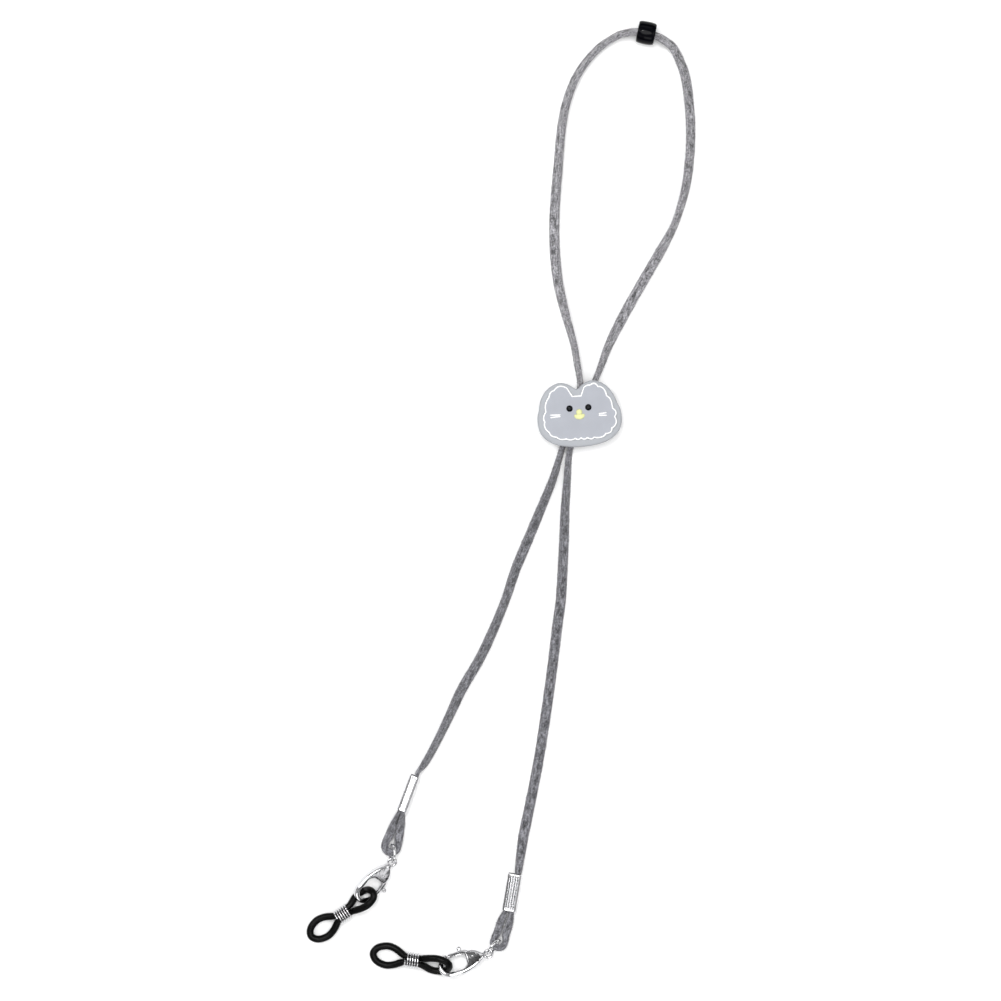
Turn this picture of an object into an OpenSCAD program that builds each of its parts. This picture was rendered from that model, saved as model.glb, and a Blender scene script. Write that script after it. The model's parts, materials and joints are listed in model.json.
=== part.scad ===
// Eyeglass retainer strap: a flat lace worn round the neck, gathered by a sliding
// face-shaped keeper, with a clasp and a rubber temple loop on each end.
// It lies on a table at z = 0. The origin is under the middle of the keeper.

/* [Lace] */
// Width of the flat lace
lace_w = 3; // [2.6:0.1:3]
// Thickness of the flat lace
lace_t = 1.5; // [1.2:0.1:1.5]

/* [Slider] */
// Width of the face plate across the cheeks
face_w = 23.5; // [21:0.5:24]
// Height of the face plate from chin to brow
face_h = 15.4; // [14:0.2:16]
// Height of the ears above the brow
ear_h = 3.3; // [2.4:0.1:3.6]
// Thickness of the face plate
face_t = 1.6; // [1.2:0.1:2.4]
// Length of the cord guide behind the face
guide_len = 12; // [9:0.5:12]
// Tilt of the face against the row's X axis, in degrees
face_tilt = 4; // [0:1:8]

/* [Bead] */
// Outer diameter of the stopper bead
bead_d = 6.4; // [6.4:0.1:7]
// Length of the stopper bead
bead_len = 5; // [4:0.1:6]
// Diameter of the bead's bore
bead_bore = 4; // [3.8:0.1:4.2]

/* [Ferrules] */
// Length of the crimped sleeve
ferrule_len = 10.5; // [9:0.1:11]
// Outside width of the crimped sleeve, across the lace
ferrule_w = 4.1; // [4:0.1:4.3]
// Outside thickness of the crimped sleeve, through its two layers of lace
ferrule_t = 2.9; // [2.8:0.1:3]
// Wall of the crimped sleeve
ferrule_wall = 0.4; // [0.3:0.05:0.4]

/* [Clasps] */
// Radius of the clasp's eyelet
eyelet_r = 1.5; // [1.4:0.05:1.6]
// Radius of the hole in the eyelet
eyelet_hole_r = 0.85; // [0.75:0.05:0.9]
// Thickness of the clasp's body
clasp_t = 2; // [1.8:0.1:2]
// Roll of the clasp about its long axis, in degrees
clasp_roll = 28; // [26:1:30]
// Diameter of the jump ring's wire
ring_wire = 0.76; // [0.6:0.02:0.8]
// Radius of the jump ring at the middle of its wire
ring_r = 2.4; // [2.3:0.05:2.45]

/* [Temple loops] */
// Diameter of the rubber cord
rubber_d = 2; // [1.9:0.05:2]
// Length of the whole rubber loop
rubber_len = 23.6; // [22:0.2:24]
// Width of the part that grips the temple arm
temple_w = 7.4; // [6.6:0.2:7.6]
// Diameter of the coil's wire
coil_wire = 0.45; // [0.4:0.05:0.45]
// Turns of the coil
coil_turns = 5.5; // [4:0.5:6]

/* [Hidden] */
$fn = 48;

// Colours
SUEDE = [0.55, 0.54, 0.57];
CHROME = [0.8, 0.8, 0.82];
BLACK = [0.08, 0.08, 0.08];
GREY = [0.73, 0.74, 0.77];

// Lace in cross-section
lace_half = lace_w / 2;
lace_thin = lace_t / 2;
lace_corner = 0.35;

// The slider's two channels run side by side along this direction
channel_turn = -16.5;
channel_gap = 1.3;
channel_z = 2.3;
channel_play = 0.2;
guide_h = 4.5;
guide_side = 0.6;

// The bead rides on an arc of the neck cord
arc_centre = [16.6, 92.6];
arc_r = 14.5;
bead_angle = 78.5;
bead_z = bead_d / 2;

// The two ends. Each has its ferrule's centre, turn and roll (90 stands it on its narrow side),
// the place, half width and half thickness of each of the two strands squeezed in it,
// the bend, length and strand width of the lace's eye, the turns of the jump ring, the clasp and
// the rubber loop, the side of the lever, the place of the rubber's tip in the clasp's own frame,
// and the route of the rubber's hooked end: along, across and height, from the strand under the
// hook round to the strand over it
LEFT = ["ferrule", [-47.1, -105.9], "turn", -20.5, "roll", 90, "strands", [0.52, 1.5, 0.5],
    "bend", 4, "eye", 13.3, "strand", 2.3, "ring", 268, "clasp", 229, "rubber", 215, "side", 1,
    "tip", [8.8, 2.1], "hook", [[8, -1.15, 1.8], [6.2, -1.9, 1.25], [4.4, -2.1, 1.02], [2.7, -1.8, 1.3],
        [1.6, -1.3, 2.8], [1.1, -0.2, 4.1], [1.6, 0.8, 4.5], [2.8, 1.4, 4.5], [4.4, 1.7, 4.4],
        [6.2, 1.55, 3.8], [8, 1.1, 2.9]]];
RIGHT = ["ferrule", [-18.1, -133.7], "turn", -9.4, "roll", 0, "strands", [0.82, 0.8, 0.95],
    "bend", -8, "eye", 11.8, "strand", 2, "ring", 232, "clasp", 197.5, "rubber", 171, "side", -1,
    "tip", [10.6, -0.5], "hook", [[8, -1.15, 1.8], [6.2, -1.9, 1.25], [4.4, -2.1, 1.04], [2.6, -1.9, 1.08],
        [1.4, -1.2, 1.5], [1, 0, 2.8], [1.5, 0.9, 3.9], [2.6, 1.5, 4.5], [4.4, 1.8, 4.5],
        [6.2, 1.6, 3.9], [8, 1.1, 2.9]]];
function of(end, name) = end[search([name], end)[0] + 1];

// Lace loop at the ferrule: the hole for the jump ring and the squeezed strands round it
loop_hole_r = 0.65;
loop_z = 1.75;
ring_seat = 0.3;
eye_thin = 0.5;
joint_y = 3.7;

// Jump ring: how far it leans and where its middle lies above the table
ring_lean = 72;
ring_z = 2.7;

// Clasp, measured from its eyelet
clasp_z = 3;
claw_r = 3.5;
claw_hole_r = 2.1;
claw_near = 8.3;
claw_far = 11;
nose_x = 11.3;
lever_pivot = [4.4, 0.6];
lever_t = 1;
eyelet_t = 0.8;
pin_r = 0.4;
pin_play = 0.05;

// Coil on the rubber loop
coil_start = 9.6;
coil_pitch = 0.7;
coil_inner_r = 1.76;
coil_z = coil_inner_r + coil_wire + 0.02;

// Route of the neck cord: x, y and roll (0 flat, 90 on edge), from the slider up the left,
// round the bead's arc and down the right
NECK_LEFT = [
    [1.0, 9.6, 85], [0.2, 14.4, 75], [-0.8, 20, 72], [-3.0, 28, 58], [-5.0, 36.4, 35], [-6.0, 45, 20],
    [-6.2, 53, 20], [-5.8, 62, 35], [-5.1, 70, 45], [-4.4, 78.4, 50], [-3.0, 86.8, 55], [0.2, 95.2, 58],
    [5.6, 102.2, 60]
];
NECK_RIGHT = [
    [30.4, 95.2, 38], [31.6, 86.8, 38], [32.0, 78.4, 42], [31.5, 70, 45], [30.2, 62, 55],
    [27.3, 53, 65], [22.9, 44.8, 30], [18.0, 36.4, 10], [13.3, 28, 20], [9.1, 19.6, 55], [6.6, 13, 75],
    [5.1, 9.6, 85]
];
// Routes of the two tails, from the slider down to the ferrules
TAIL_LEFT = [
    [-4.4, -10.6, 80], [-6.7, -18.2, 60], [-10.1, -26.6, 45], [-13.6, -35, 30], [-17.1, -43.4, 35],
    [-19.9, -51.8, 50], [-23.3, -60.2, 40], [-27.3, -68.6, 30], [-32.2, -77, 30], [-36.1, -85.4, 50],
    [-40.3, -93.8, 62], [-42.7, -97.9, 70]
];
TAIL_RIGHT = [
    [-2.0, -10.6, 80], [-2.6, -18.2, 65], [-3.2, -26.6, 50], [-3.5, -35, 35], [-3.9, -43.4, 30],
    [-4.4, -51.8, 20], [-5.5, -60.2, 15], [-6.5, -68.6, 10], [-7.6, -77, 10], [-8.8, -85.4, 5],
    [-10.1, -93.8, 0], [-11.6, -102.2, 0], [-13.3, -110.6, 0], [-15.0, -119, 0]
];

// Height at which a rolled lace touches the table
function rest_z(roll) = lace_half * abs(sin(roll)) + lace_thin * abs(cos(roll));

// Smooth curve through rows of numbers
function blend_rows(a, b, c, d, t) =
    0.5 * (2 * b + (c - a) * t + (2 * a - 5 * b + 4 * c - d) * t * t
    + (3 * b - a - 3 * c + d) * t * t * t);
function smooth(rows, steps) = let (last = len(rows) - 1) concat(
    [for (i = [0:last - 1], k = [0:steps - 1])
        let (a = i == 0 ? 2 * rows[0] - rows[1] : rows[i - 1])
        let (d = i + 2 > last ? 2 * rows[last] - rows[last - 1] : rows[i + 2])
        blend_rows(a, rows[i], rows[i + 1], d, k / steps)],
    [rows[last]]);
function unit(v) = v / norm(v);
function xyz(row) = [row[0], row[1], row[2]];

// A row of a route is x, y, z, roll, half width, half thickness
function on_table(p) = [p[0], p[1], rest_z(p[2]), p[2], lace_half, lace_thin];
function lace_outline(half, thin) = let (w = half, t = thin, c = lace_corner) [
    [w, t - c], [w - c, t], [c - w, t], [-w, t - c], [-w, c - t], [c - w, -t], [w - c, -t], [w, c - t]
];
function heading(rows, i) =
    unit(xyz(rows[min(i + 1, len(rows) - 1)]) - xyz(rows[max(i - 1, 0)]));
function ring_of(p, along, roll, outline) =
    let (side = unit(cross(along, [0, 0, 1])), up = cross(side, along))
    [for (q = outline) p + side * (q[0] * cos(roll) - q[1] * sin(roll))
        + up * (q[0] * sin(roll) + q[1] * cos(roll))];

// Skin over a list of equal rings, closed flat at both ends
module skin(rings) {
    n = len(rings[0]);
    last = len(rings) - 1;
    walls = [for (i = [0:last - 1], k = [0:n - 1]) let (a = i * n + k, b = i * n + (k + 1) % n)
        each [[a, b, a + n], [b, b + n, a + n]]];
    caps = [[for (k = [n - 1:-1:0]) k], [for (k = [0:n - 1]) last * n + k]];
    polyhedron([for (r = rings) each r], concat(walls, caps));
}
module lace(rows) {
    skin([for (i = [0:len(rows) - 1])
        ring_of(xyz(rows[i]), heading(rows, i), rows[i][3], lace_outline(rows[i][4], rows[i][5]))]);
}

// Point in one of the slider's channels, side -1 left or 1 right
function channel(side, along) = [
    side * channel_gap * cos(channel_turn) - along * sin(channel_turn),
    side * channel_gap * sin(channel_turn) + along * cos(channel_turn),
    channel_z, 90, lace_half, lace_thin];
function arc_point(angle, z, roll) = [
    arc_centre[0] + arc_r * cos(angle), arc_centre[1] + arc_r * sin(angle),
    z, roll, lace_half, lace_thin];

// Turns a point of a ferrule's own frame into the row's frame
function turned(p, a) = [p[0] * cos(a) - p[1] * sin(a), p[0] * sin(a) + p[1] * cos(a)];
function at_ferrule(end, p) = of(end, "ferrule") + turned(p, of(end, "turn"));
function ferrule_z(end) = of(end, "roll") == 90 ? ferrule_w / 2 : ferrule_t / 2;
// One of the strands squeezed side by side in the ferrule, side 1 or -1
function crimped(end, side, y) =
    let (strand = of(end, "strands"), p = at_ferrule(end, [side * strand[0], y]))
    [p[0], p[1], ferrule_z(end), of(end, "roll"), strand[1], strand[2]];
// The lace just above the ferrule, spreading out to its full width
function spread(end) = let (p = crimped(end, 1, ferrule_len / 2 + 1.5))
    [p[0], p[1], p[2], p[3], (p[4] + lace_half) / 2, (p[5] + lace_thin) / 2];

module neck_cord() {
    rows = concat(
        [channel(-1, 0), channel(-1, 3), channel(-1, guide_len / 2), channel(-1, guide_len / 2 + 1.2)],
        [for (p = NECK_LEFT) on_table(p)],
        [arc_point(112, 1.8, 60), arc_point(101, 2.9, 60), arc_point(92, bead_z, 60)],
        [arc_point(bead_angle, bead_z, 60), arc_point(65, bead_z, 55)],
        [arc_point(54, 2.9, 50), arc_point(41, 1.8, 45)],
        [for (p = NECK_RIGHT) on_table(p)],
        [channel(1, guide_len / 2 + 1.2), channel(1, guide_len / 2), channel(1, 3), channel(1, 0)]);
    color(SUEDE) lace(smooth(rows, 1));
}
module tail_cord(end, side, route) {
    rows = concat(
        [channel(side, 0), channel(side, -3), channel(side, -guide_len / 2)],
        [channel(side, -guide_len / 2 - 1.2)],
        [for (p = route) on_table(p)],
        [spread(end), crimped(end, 1, ferrule_len / 2), crimped(end, 1, joint_y)]);
    color(SUEDE) lace(smooth(rows, 1));
}

// Folded end of the lace: two strands in the ferrule, opening into an eye for the jump ring
function loop_point(end, x, y) =
    let (base = -ferrule_len / 2, bent = turned([x, y - base], of(end, "bend")))
    at_ferrule(end, bent + [0, base]);
function eye_row(end, x, y, z, roll, half) = let (p = loop_point(end, x, y))
    [p[0], p[1], z, roll, half, eye_thin];
function hole_y(end) = -ferrule_len / 2 - of(end, "eye") + of(end, "strand") + loop_hole_r;
module end_loop(end) {
    eye = hole_y(end);
    half = of(end, "strand") / 2;
    turn_r = half + loop_hole_r;
    lean = of(end, "roll");
    neck_z = ferrule_z(end);
    // Half width of a strand where it turns from the ferrule's roll to flat, and where it lies flat
    turning = (half + of(end, "strands")[1]) / 2 + 0.25 * cos(lean);
    wide = half + 0.2;
    side_rows = function (s) [
        eye_row(end, s * (turning * (1 - 0.32 * sin(lean)) + 0.05), (eye - ferrule_len / 2) / 2 + 1.5,
            (neck_z + loop_z) / 2, s * lean / 2, turning),
        eye_row(end, s * (wide + 0.05), eye + 2.6, loop_z, 0, wide),
        eye_row(end, s * (turn_r - 0.05), eye + 1.1, loop_z, 0, half)];
    arc = [for (a = [-10:-20:-170]) eye_row(end, turn_r * cos(a), eye + turn_r * sin(a), loop_z, 0, half)];
    down = [crimped(end, 1, joint_y), crimped(end, 1, 0.2 - ferrule_len / 2)];
    up = [crimped(end, -1, 0.2 - ferrule_len / 2), crimped(end, -1, ferrule_len / 2 - 0.5)];
    up_turned = [for (p = up) [p[0], p[1], p[2], -p[3], p[4], p[5]]];
    color(SUEDE) lace(concat(down, side_rows(1), arc, backwards(side_rows(-1)), up_turned));
}

module stopper_bead() {
    round_r = 1.1;
    color(BLACK)
    translate([arc_centre[0], arc_centre[1], bead_z])
    rotate([0, 0, bead_angle])
    translate([arc_r, 0, 0])
    rotate([90, 0, 0])
    rotate_extrude($fn = 64)
    difference() {
        union() {
            translate([0, -bead_len / 2 + round_r])
                square([bead_d / 2, bead_len - 2 * round_r]);
            translate([0, -bead_len / 2])
                square([bead_d / 2 - round_r, bead_len]);
            for (y = [-1, 1])
                translate([bead_d / 2 - round_r, y * (bead_len / 2 - round_r)])
                    circle(round_r);
        }
        translate([-1, -bead_len])
            square([bead_bore / 2 + 1, 2 * bead_len]);
    }
}

// Slider: a guide with two channels, and the face plate with its features glued on in layers
module cord_guide() {
    slot_w = lace_t + 2 * channel_play;
    slot_h = lace_w + 2 * channel_play;
    width = 2 * channel_gap + slot_w + 2 * guide_side;
    color(GREY)
    rotate([0, 0, channel_turn])
    difference() {
        translate([-width / 2, -guide_len / 2, 0])
            cube([width, guide_len, guide_h]);
        for (side = [-1, 1])
            translate([side * channel_gap - slot_w / 2, -guide_len, channel_z - slot_h / 2])
                cube([slot_w, 2 * guide_len, slot_h]);
    }
}
face_power = 2.4;
ear_right = 65;
ear_left = 119;
ear_in = 31;
ear_out = 46;
function ear(a) = let (spread = a < 0 ? ear_out : ear_in)
    abs(a) < spread ? pow(cos(90 * a / spread), 1.3) : 0;
function ears(a) = ear(a - ear_right) + ear(ear_left - a);
function face_reach(a) = ear_h * ears(a) + pow(
    pow(abs(cos(a)) * 2 / face_w, face_power) + pow(abs(sin(a)) * 2 / face_h, face_power),
    -1 / face_power);
// The inner shapes stay inside the plate's edge, closer to it on the ears, with a fluffy rim
// that runs straight between the ears
fur_scallop = 0.3;
notch_at = 93.5;
notch_half = 11;
notch_blend = 4;
notch_y = 8.4;
function fur_reach(a, inset) =
    let (away = min(1, max(0, (abs(a - notch_at) - notch_half) / notch_blend)))
    let (fluffy = face_reach(a) - inset + 0.6 * pow(ears(a), 3) - 0.5 * max(0, -sin(a))
        + fur_scallop * abs(sin(13 * a)))
    away * fluffy + (1 - away) * (notch_y - inset) / max(sin(a), 0.5);
module plate_shape() {
    polygon([for (a = [0:3:357]) face_reach(a) * [cos(a), sin(a)]]);
}
module fur_shape(inset) {
    polygon([for (a = [0:2:358]) fur_reach(a, inset) * [cos(a), sin(a)]]);
}
module on_face(level) {
    rotate([0, 0, face_tilt])
        translate([0.7, -1.3, guide_h + level])
            children();
}
panel_t = 0.5;
outline_t = 0.6;
fur_inset = 1.8;
fur_w = 0.35;
detail_t = 0.4;
module face_plate() {
    color(GREY) on_face(0)
        linear_extrude(face_t) plate_shape();
}
module face_panel() {
    color([0.72, 0.74, 0.78]) on_face(face_t)
        linear_extrude(panel_t) fur_shape(fur_inset + fur_w);
}
module face_outline() {
    color("white") on_face(face_t)
        linear_extrude(outline_t)
        difference() {
            fur_shape(fur_inset);
            fur_shape(fur_inset + fur_w);
        }
}
module eyes() {
    color(BLACK) on_face(face_t + panel_t)
        for (x = [-2.62, 2.62])
            translate([x, 3.1])
                cylinder(r = 0.9, h = detail_t);
}
module nose_mouth() {
    color([0.93, 0.9, 0.5]) on_face(face_t + panel_t) {
        translate([0, 1.9])
            cylinder(r = 0.85, h = detail_t);
        linear_extrude(detail_t)
            intersection() {
                translate([0, 1.05])
                    scale([1, 0.75])
                        circle(1.5);
                translate([-2, -0.6])
                    square([4, 1.7]);
            }
    }
}
// Whiskers: the middle, length and lean of each
WHISKERS = [[-6.7, 1, 3, 3], [-6.7, 1.6, 3, -3], [6.5, 0.6, 2.4, -3], [6.5, 1.2, 2.4, 3]];
module whiskers() {
    color("white") on_face(face_t + panel_t)
        for (w = WHISKERS)
            translate([w[0], w[1]])
                rotate([0, 0, w[3]])
                    translate([-w[2] / 2, -0.18])
                        cube([w[2], 0.36, detail_t]);
}

module ferrule(end) {
    corner = 0.8;
    groove_r = 0.3;
    color(CHROME)
    translate([of(end, "ferrule")[0], of(end, "ferrule")[1], ferrule_z(end)])
    rotate([0, 0, of(end, "turn")])
    rotate([0, of(end, "roll"), 0])
    rotate([90, 0, 0])
    difference() {
        translate([0, 0, -ferrule_len / 2])
            linear_extrude(ferrule_len) {
                square([ferrule_w, ferrule_t - 2 * corner], center = true);
                square([ferrule_w - 2 * corner, ferrule_t], center = true);
                for (x = [-1, 1], y = [-1, 1])
                    translate([x * (ferrule_w / 2 - corner), y * (ferrule_t / 2 - corner)])
                        circle(corner);
            }
        cube([ferrule_w - 2 * ferrule_wall, ferrule_t - 2 * ferrule_wall, 2 * ferrule_len], center = true);
        // Seam where the folded strip meets, and the grooves pressed beside it
        translate([0.9, ferrule_t / 2, 0])
            cube([0.16, 0.9, 2 * ferrule_len], center = true);
        for (x = [-0.9, 0])
            translate([x, ferrule_t / 2 + 0.12, 0])
                cylinder(r = groove_r, h = ferrule_len - 2, center = true);
    }
}

// Places of the ring, clasp and rubber loop of one end, worked out from the eye of the lace
function eye_at(end) = loop_point(end, 0, hole_y(end) + ring_seat);
function way(a) = [cos(a), sin(a)];
function lever_way(end, a) = of(end, "side") * way(a + 90);
ring_drop = (ring_z - loop_z) / sin(ring_lean);
ring_back = sqrt(ring_r * ring_r - ring_drop * ring_drop);
function ring_at(end) = let (a = of(end, "ring"))
    eye_at(end) + way(a) * ring_back + lever_way(end, a) * ring_drop * cos(ring_lean);
function eyelet_at(end) = ring_at(end) + way(of(end, "ring")) * ring_r;
function tip_at(end) = let (a = of(end, "clasp"), p = of(end, "tip"))
    eyelet_at(end) + way(a) * p[0] + lever_way(end, a) * p[1];

module jump_ring(end) {
    color(CHROME)
    translate([ring_at(end)[0], ring_at(end)[1], ring_z])
    rotate([0, 0, of(end, "ring")])
    rotate([of(end, "side") * ring_lean, 0, 0])
    rotate_extrude($fn = 64)
    translate([ring_r, 0])
        circle(ring_wire / 2, $fn = 24);
}
module at_clasp(end) {
    translate([eyelet_at(end)[0], eyelet_at(end)[1], clasp_z])
    rotate([0, 0, of(end, "clasp")])
    mirror([0, of(end, "side") < 0 ? 1 : 0, 0])
    rotate([-clasp_roll, 0, 0])
        children();
}
module claw_shape(r) {
    for (x = [claw_near, claw_far])
        translate([x, 0])
            circle(r);
    translate([claw_near, -r])
        square([claw_far - claw_near, 2 * r]);
}
module clasp_body(end) {
    base_end = 6.4;
    slot_t = lever_t + 0.1;
    color(CHROME) at_clasp(end)
    difference() {
        union() {
            cylinder(r = eyelet_r, h = eyelet_t, center = true);
            translate([0, 0, -clasp_t / 2])
                linear_extrude(clasp_t) {
                    difference() {
                        claw_shape(claw_r);
                        claw_shape(claw_hole_r);
                        translate([base_end, 1.3])
                            square([nose_x - base_end, claw_r]);
                    }
                    polygon([[1.5, -0.8], [3, -2.1], [5.2, -2.9], [7.6, -3.42], [7.4, -1.8], [base_end, -1],
                        [base_end, 1.6], [5.2, 2.7], [3.2, 2.3], [1.5, 0.9]]);
                }
            translate([0.9, -0.7, -eyelet_t / 2])
                cube([1.4, 1.4, eyelet_t]);
        }
        cylinder(r = eyelet_hole_r, h = 3, center = true);
        translate([0, 0, -slot_t / 2])
            linear_extrude(slot_t) {
                translate(lever_pivot)
                    circle(1.35);
                polygon([[3.05, 0.6], [3.05, 4], [7.6, 4], [7.6, 1.2], [6.6, -0.9], [5.4, -1.1],
                    [4.4, -0.7]]);
            }
        translate(lever_pivot)
            cylinder(r = pin_r, h = 3, center = true);
    }
}
module clasp_lever(end) {
    color(CHROME) at_clasp(end)
    difference() {
        union() {
            translate([0, 0, -lever_t / 2])
                linear_extrude(lever_t) {
                    translate(lever_pivot)
                        circle(1.15);
                    polygon([[4.4, 1.7], [5.1, 2.9], [6.6, 3.3], [10.9, 3.3], [11.2, 3.1], [11.2, 2.15],
                        [7.6, 2.1], [6.3, 1.5], [5.2, 0]]);
                }
            translate([7, 3.2, -0.8])
                cube([1.2, 1, 1.6]);
            translate([7.6, 4.2, -0.8])
                cylinder(r = 0.6, h = 1.6);
        }
        translate(lever_pivot)
            cylinder(r = pin_r + pin_play, h = 3, center = true);
    }
}
module clasp_pin(end) {
    color(CHROME) at_clasp(end)
        translate(lever_pivot)
            cylinder(r = pin_r, h = clasp_t, center = true);
}
module clasp_spring(end) {
    color(CHROME) at_clasp(end)
        translate([0, 0, -0.3])
            linear_extrude(0.6)
                polygon([[5.3, -0.95], [6.2, -0.8], [6.25, 1.2], [6.08, 1.15], [6.02, -0.62], [5.3, -0.75]]);
}

// Rubber loop: a closed route, along, across, height and radius, from the tip that is hooked.
// One strand dives under the hook and the other climbs over it, and the coil squeezes them.
squeezed_r = 0.84;
squeezed_x = 0.86;
rubber_r = rubber_d / 2;
table_z = rubber_r + 0.02;
temple_x = temple_w / 2 - rubber_r;
TEMPLE = [
    [14.6, 1.25, 1.7], [16.4, 2.2, 1.2], [18.5, temple_x, table_z],
    [20.6, 2.3, table_z], [22, 1.35, table_z]
];
function in_coil(x, side) = [x, side * squeezed_x, coil_z, squeezed_r];
function thick(p) = [p[0], p[1], p[2], rubber_r];
function backwards(rows) = [for (i = [len(rows) - 1:-1:0]) rows[i]];
function rubber_route(end) = concat(
    [for (p = of(end, "hook")) thick(p)],
    [in_coil(9.4, 1), in_coil(11.5, 1), in_coil(13.6, 1)],
    [for (p = TEMPLE) thick(p)],
    [[rubber_len - rubber_r, 0, table_z, rubber_r]],
    [for (p = backwards(TEMPLE)) thick([p[0], -p[1], p[2]])],
    [in_coil(13.6, -1), in_coil(11.5, -1), in_coil(9.4, -1)]);
function closed_smooth(rows, steps) = let (n = len(rows))
    [for (i = [0:n - 1], k = [0:steps - 1])
        blend_rows(rows[(i + n - 1) % n], rows[i], rows[(i + 1) % n], rows[(i + 2) % n], k / steps)];
function round_outline(r, sides) = [for (k = [0:sides - 1]) r * [cos(360 * k / sides), sin(360 * k / sides)]];
module closed_tube(rows, sides) {
    n = len(rows);
    rings = [for (i = [0:n - 1])
        ring_of(xyz(rows[i]), unit(xyz(rows[(i + 1) % n]) - xyz(rows[(i + n - 1) % n])), 0,
            round_outline(rows[i][3], sides))];
    faces = [for (i = [0:n - 1], k = [0:sides - 1])
        let (a = i * sides + k, b = i * sides + (k + 1) % sides)
        let (c = (i + 1) % n * sides + k, d = (i + 1) % n * sides + (k + 1) % sides)
        each [[a, b, c], [b, d, c]]];
    polyhedron([for (r = rings) each r], faces);
}
module at_rubber(end) {
    translate([tip_at(end)[0], tip_at(end)[1], 0])
    rotate([0, 0, of(end, "rubber")])
    mirror([0, of(end, "side") < 0 ? 1 : 0, 0])
        children();
}
module rubber_loop(end) {
    color(BLACK) at_rubber(end)
        closed_tube(closed_smooth(rubber_route(end), 3), 12);
}
module loop_coil(end) {
    per_turn = 16;
    sides = 6;
    wire_r = coil_wire / 2;
    turn_r = coil_inner_r + wire_r;
    rings = [for (i = [0:coil_turns * per_turn]) let (a = 360 * i / per_turn)
        [for (k = [0:sides - 1]) let (b = 360 * k / sides, r = turn_r + wire_r * cos(b))
            [coil_start + coil_pitch * i / per_turn + wire_r * sin(b), r * cos(a), coil_z + r * sin(a)]]];
    color(CHROME) at_rubber(end) skin(rings);
}

neck_cord();
tail_cord(LEFT, -1, TAIL_LEFT);  // tail_cord_left
tail_cord(RIGHT, 1, TAIL_RIGHT);  // tail_cord_right
end_loop(LEFT);  // end_loop_left
end_loop(RIGHT);  // end_loop_right
stopper_bead();
cord_guide();
face_plate();
face_panel();
face_outline();
eyes();
nose_mouth();
whiskers();
ferrule(LEFT);  // ferrule_left
ferrule(RIGHT);  // ferrule_right
jump_ring(LEFT);  // jump_ring_left
jump_ring(RIGHT);  // jump_ring_right
clasp_body(LEFT);  // clasp_body_left
clasp_body(RIGHT);  // clasp_body_right
clasp_lever(LEFT);  // clasp_lever_left
clasp_lever(RIGHT);  // clasp_lever_right
clasp_pin(LEFT);  // clasp_pin_left
clasp_pin(RIGHT);  // clasp_pin_right
clasp_spring(LEFT);  // clasp_spring_left
clasp_spring(RIGHT);  // clasp_spring_right
rubber_loop(LEFT);  // rubber_loop_left
rubber_loop(RIGHT);  // rubber_loop_right
loop_coil(LEFT);  // loop_coil_left
loop_coil(RIGHT);  // loop_coil_right
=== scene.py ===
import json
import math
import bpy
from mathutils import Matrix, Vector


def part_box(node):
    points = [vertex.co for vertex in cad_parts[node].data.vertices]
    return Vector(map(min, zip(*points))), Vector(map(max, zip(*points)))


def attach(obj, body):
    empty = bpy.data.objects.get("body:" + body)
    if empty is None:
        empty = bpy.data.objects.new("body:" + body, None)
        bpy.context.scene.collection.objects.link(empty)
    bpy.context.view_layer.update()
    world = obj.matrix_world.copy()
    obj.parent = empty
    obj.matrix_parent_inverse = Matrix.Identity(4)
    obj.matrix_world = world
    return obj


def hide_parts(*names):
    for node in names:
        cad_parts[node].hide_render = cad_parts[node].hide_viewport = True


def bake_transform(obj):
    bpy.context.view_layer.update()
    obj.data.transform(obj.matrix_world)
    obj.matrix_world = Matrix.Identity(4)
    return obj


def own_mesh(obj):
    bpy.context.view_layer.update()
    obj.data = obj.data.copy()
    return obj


bl_info = {
    "name": "Eyeglass Retainer Strap",
    "version": (1, 0, 0),
    "blender": (4, 5, 0),
    "location": "3D View > Sidebar > Strap",
    "description": "Builds a suede-look eyeglass strap with its keeper, bead, clasps and temple loops",
    "category": "Add Mesh",
}

import bpy
import bmesh
from bpy.props import FloatProperty, FloatVectorProperty, IntProperty, PointerProperty
from mathutils import Matrix, Vector, noise

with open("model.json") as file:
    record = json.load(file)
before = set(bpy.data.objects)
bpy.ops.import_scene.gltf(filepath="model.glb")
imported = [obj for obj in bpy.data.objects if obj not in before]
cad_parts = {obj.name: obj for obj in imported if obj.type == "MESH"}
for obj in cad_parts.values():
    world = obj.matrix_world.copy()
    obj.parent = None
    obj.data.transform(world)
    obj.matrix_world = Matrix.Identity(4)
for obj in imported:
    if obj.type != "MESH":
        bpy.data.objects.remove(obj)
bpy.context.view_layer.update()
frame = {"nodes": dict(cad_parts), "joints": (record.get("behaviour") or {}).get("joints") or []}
JOINTS = {joint["name"]: joint for joint in frame["joints"]}
MM = 0.001
SIDES = {"left": 1, "right": -1}
# The corners of an oblong, each with the angle at which its rounding starts
CORNERS = ((1, 1, 0), (-1, 1, 90), (-1, -1, 180), (1, -1, 270))


def cosd(angle):
    return math.cos(math.radians(angle))


def sind(angle):
    return math.sin(math.radians(angle))


def pivot(joint):
    return Vector(JOINTS[joint]["pos_m"])


def middle_of(node):
    low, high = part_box(node)
    return (Vector(low) + Vector(high)) / 2


def link(made):
    bpy.context.scene.collection.objects.link(made)
    return made


def evaluated(made):
    """The plain mesh of an object with its modifiers or curve applied."""
    bpy.context.view_layer.update()
    return bpy.data.meshes.new_from_object(made.evaluated_get(bpy.context.evaluated_depsgraph_get()))


# ---------------------------------------------------------------- colours and sizes


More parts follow.
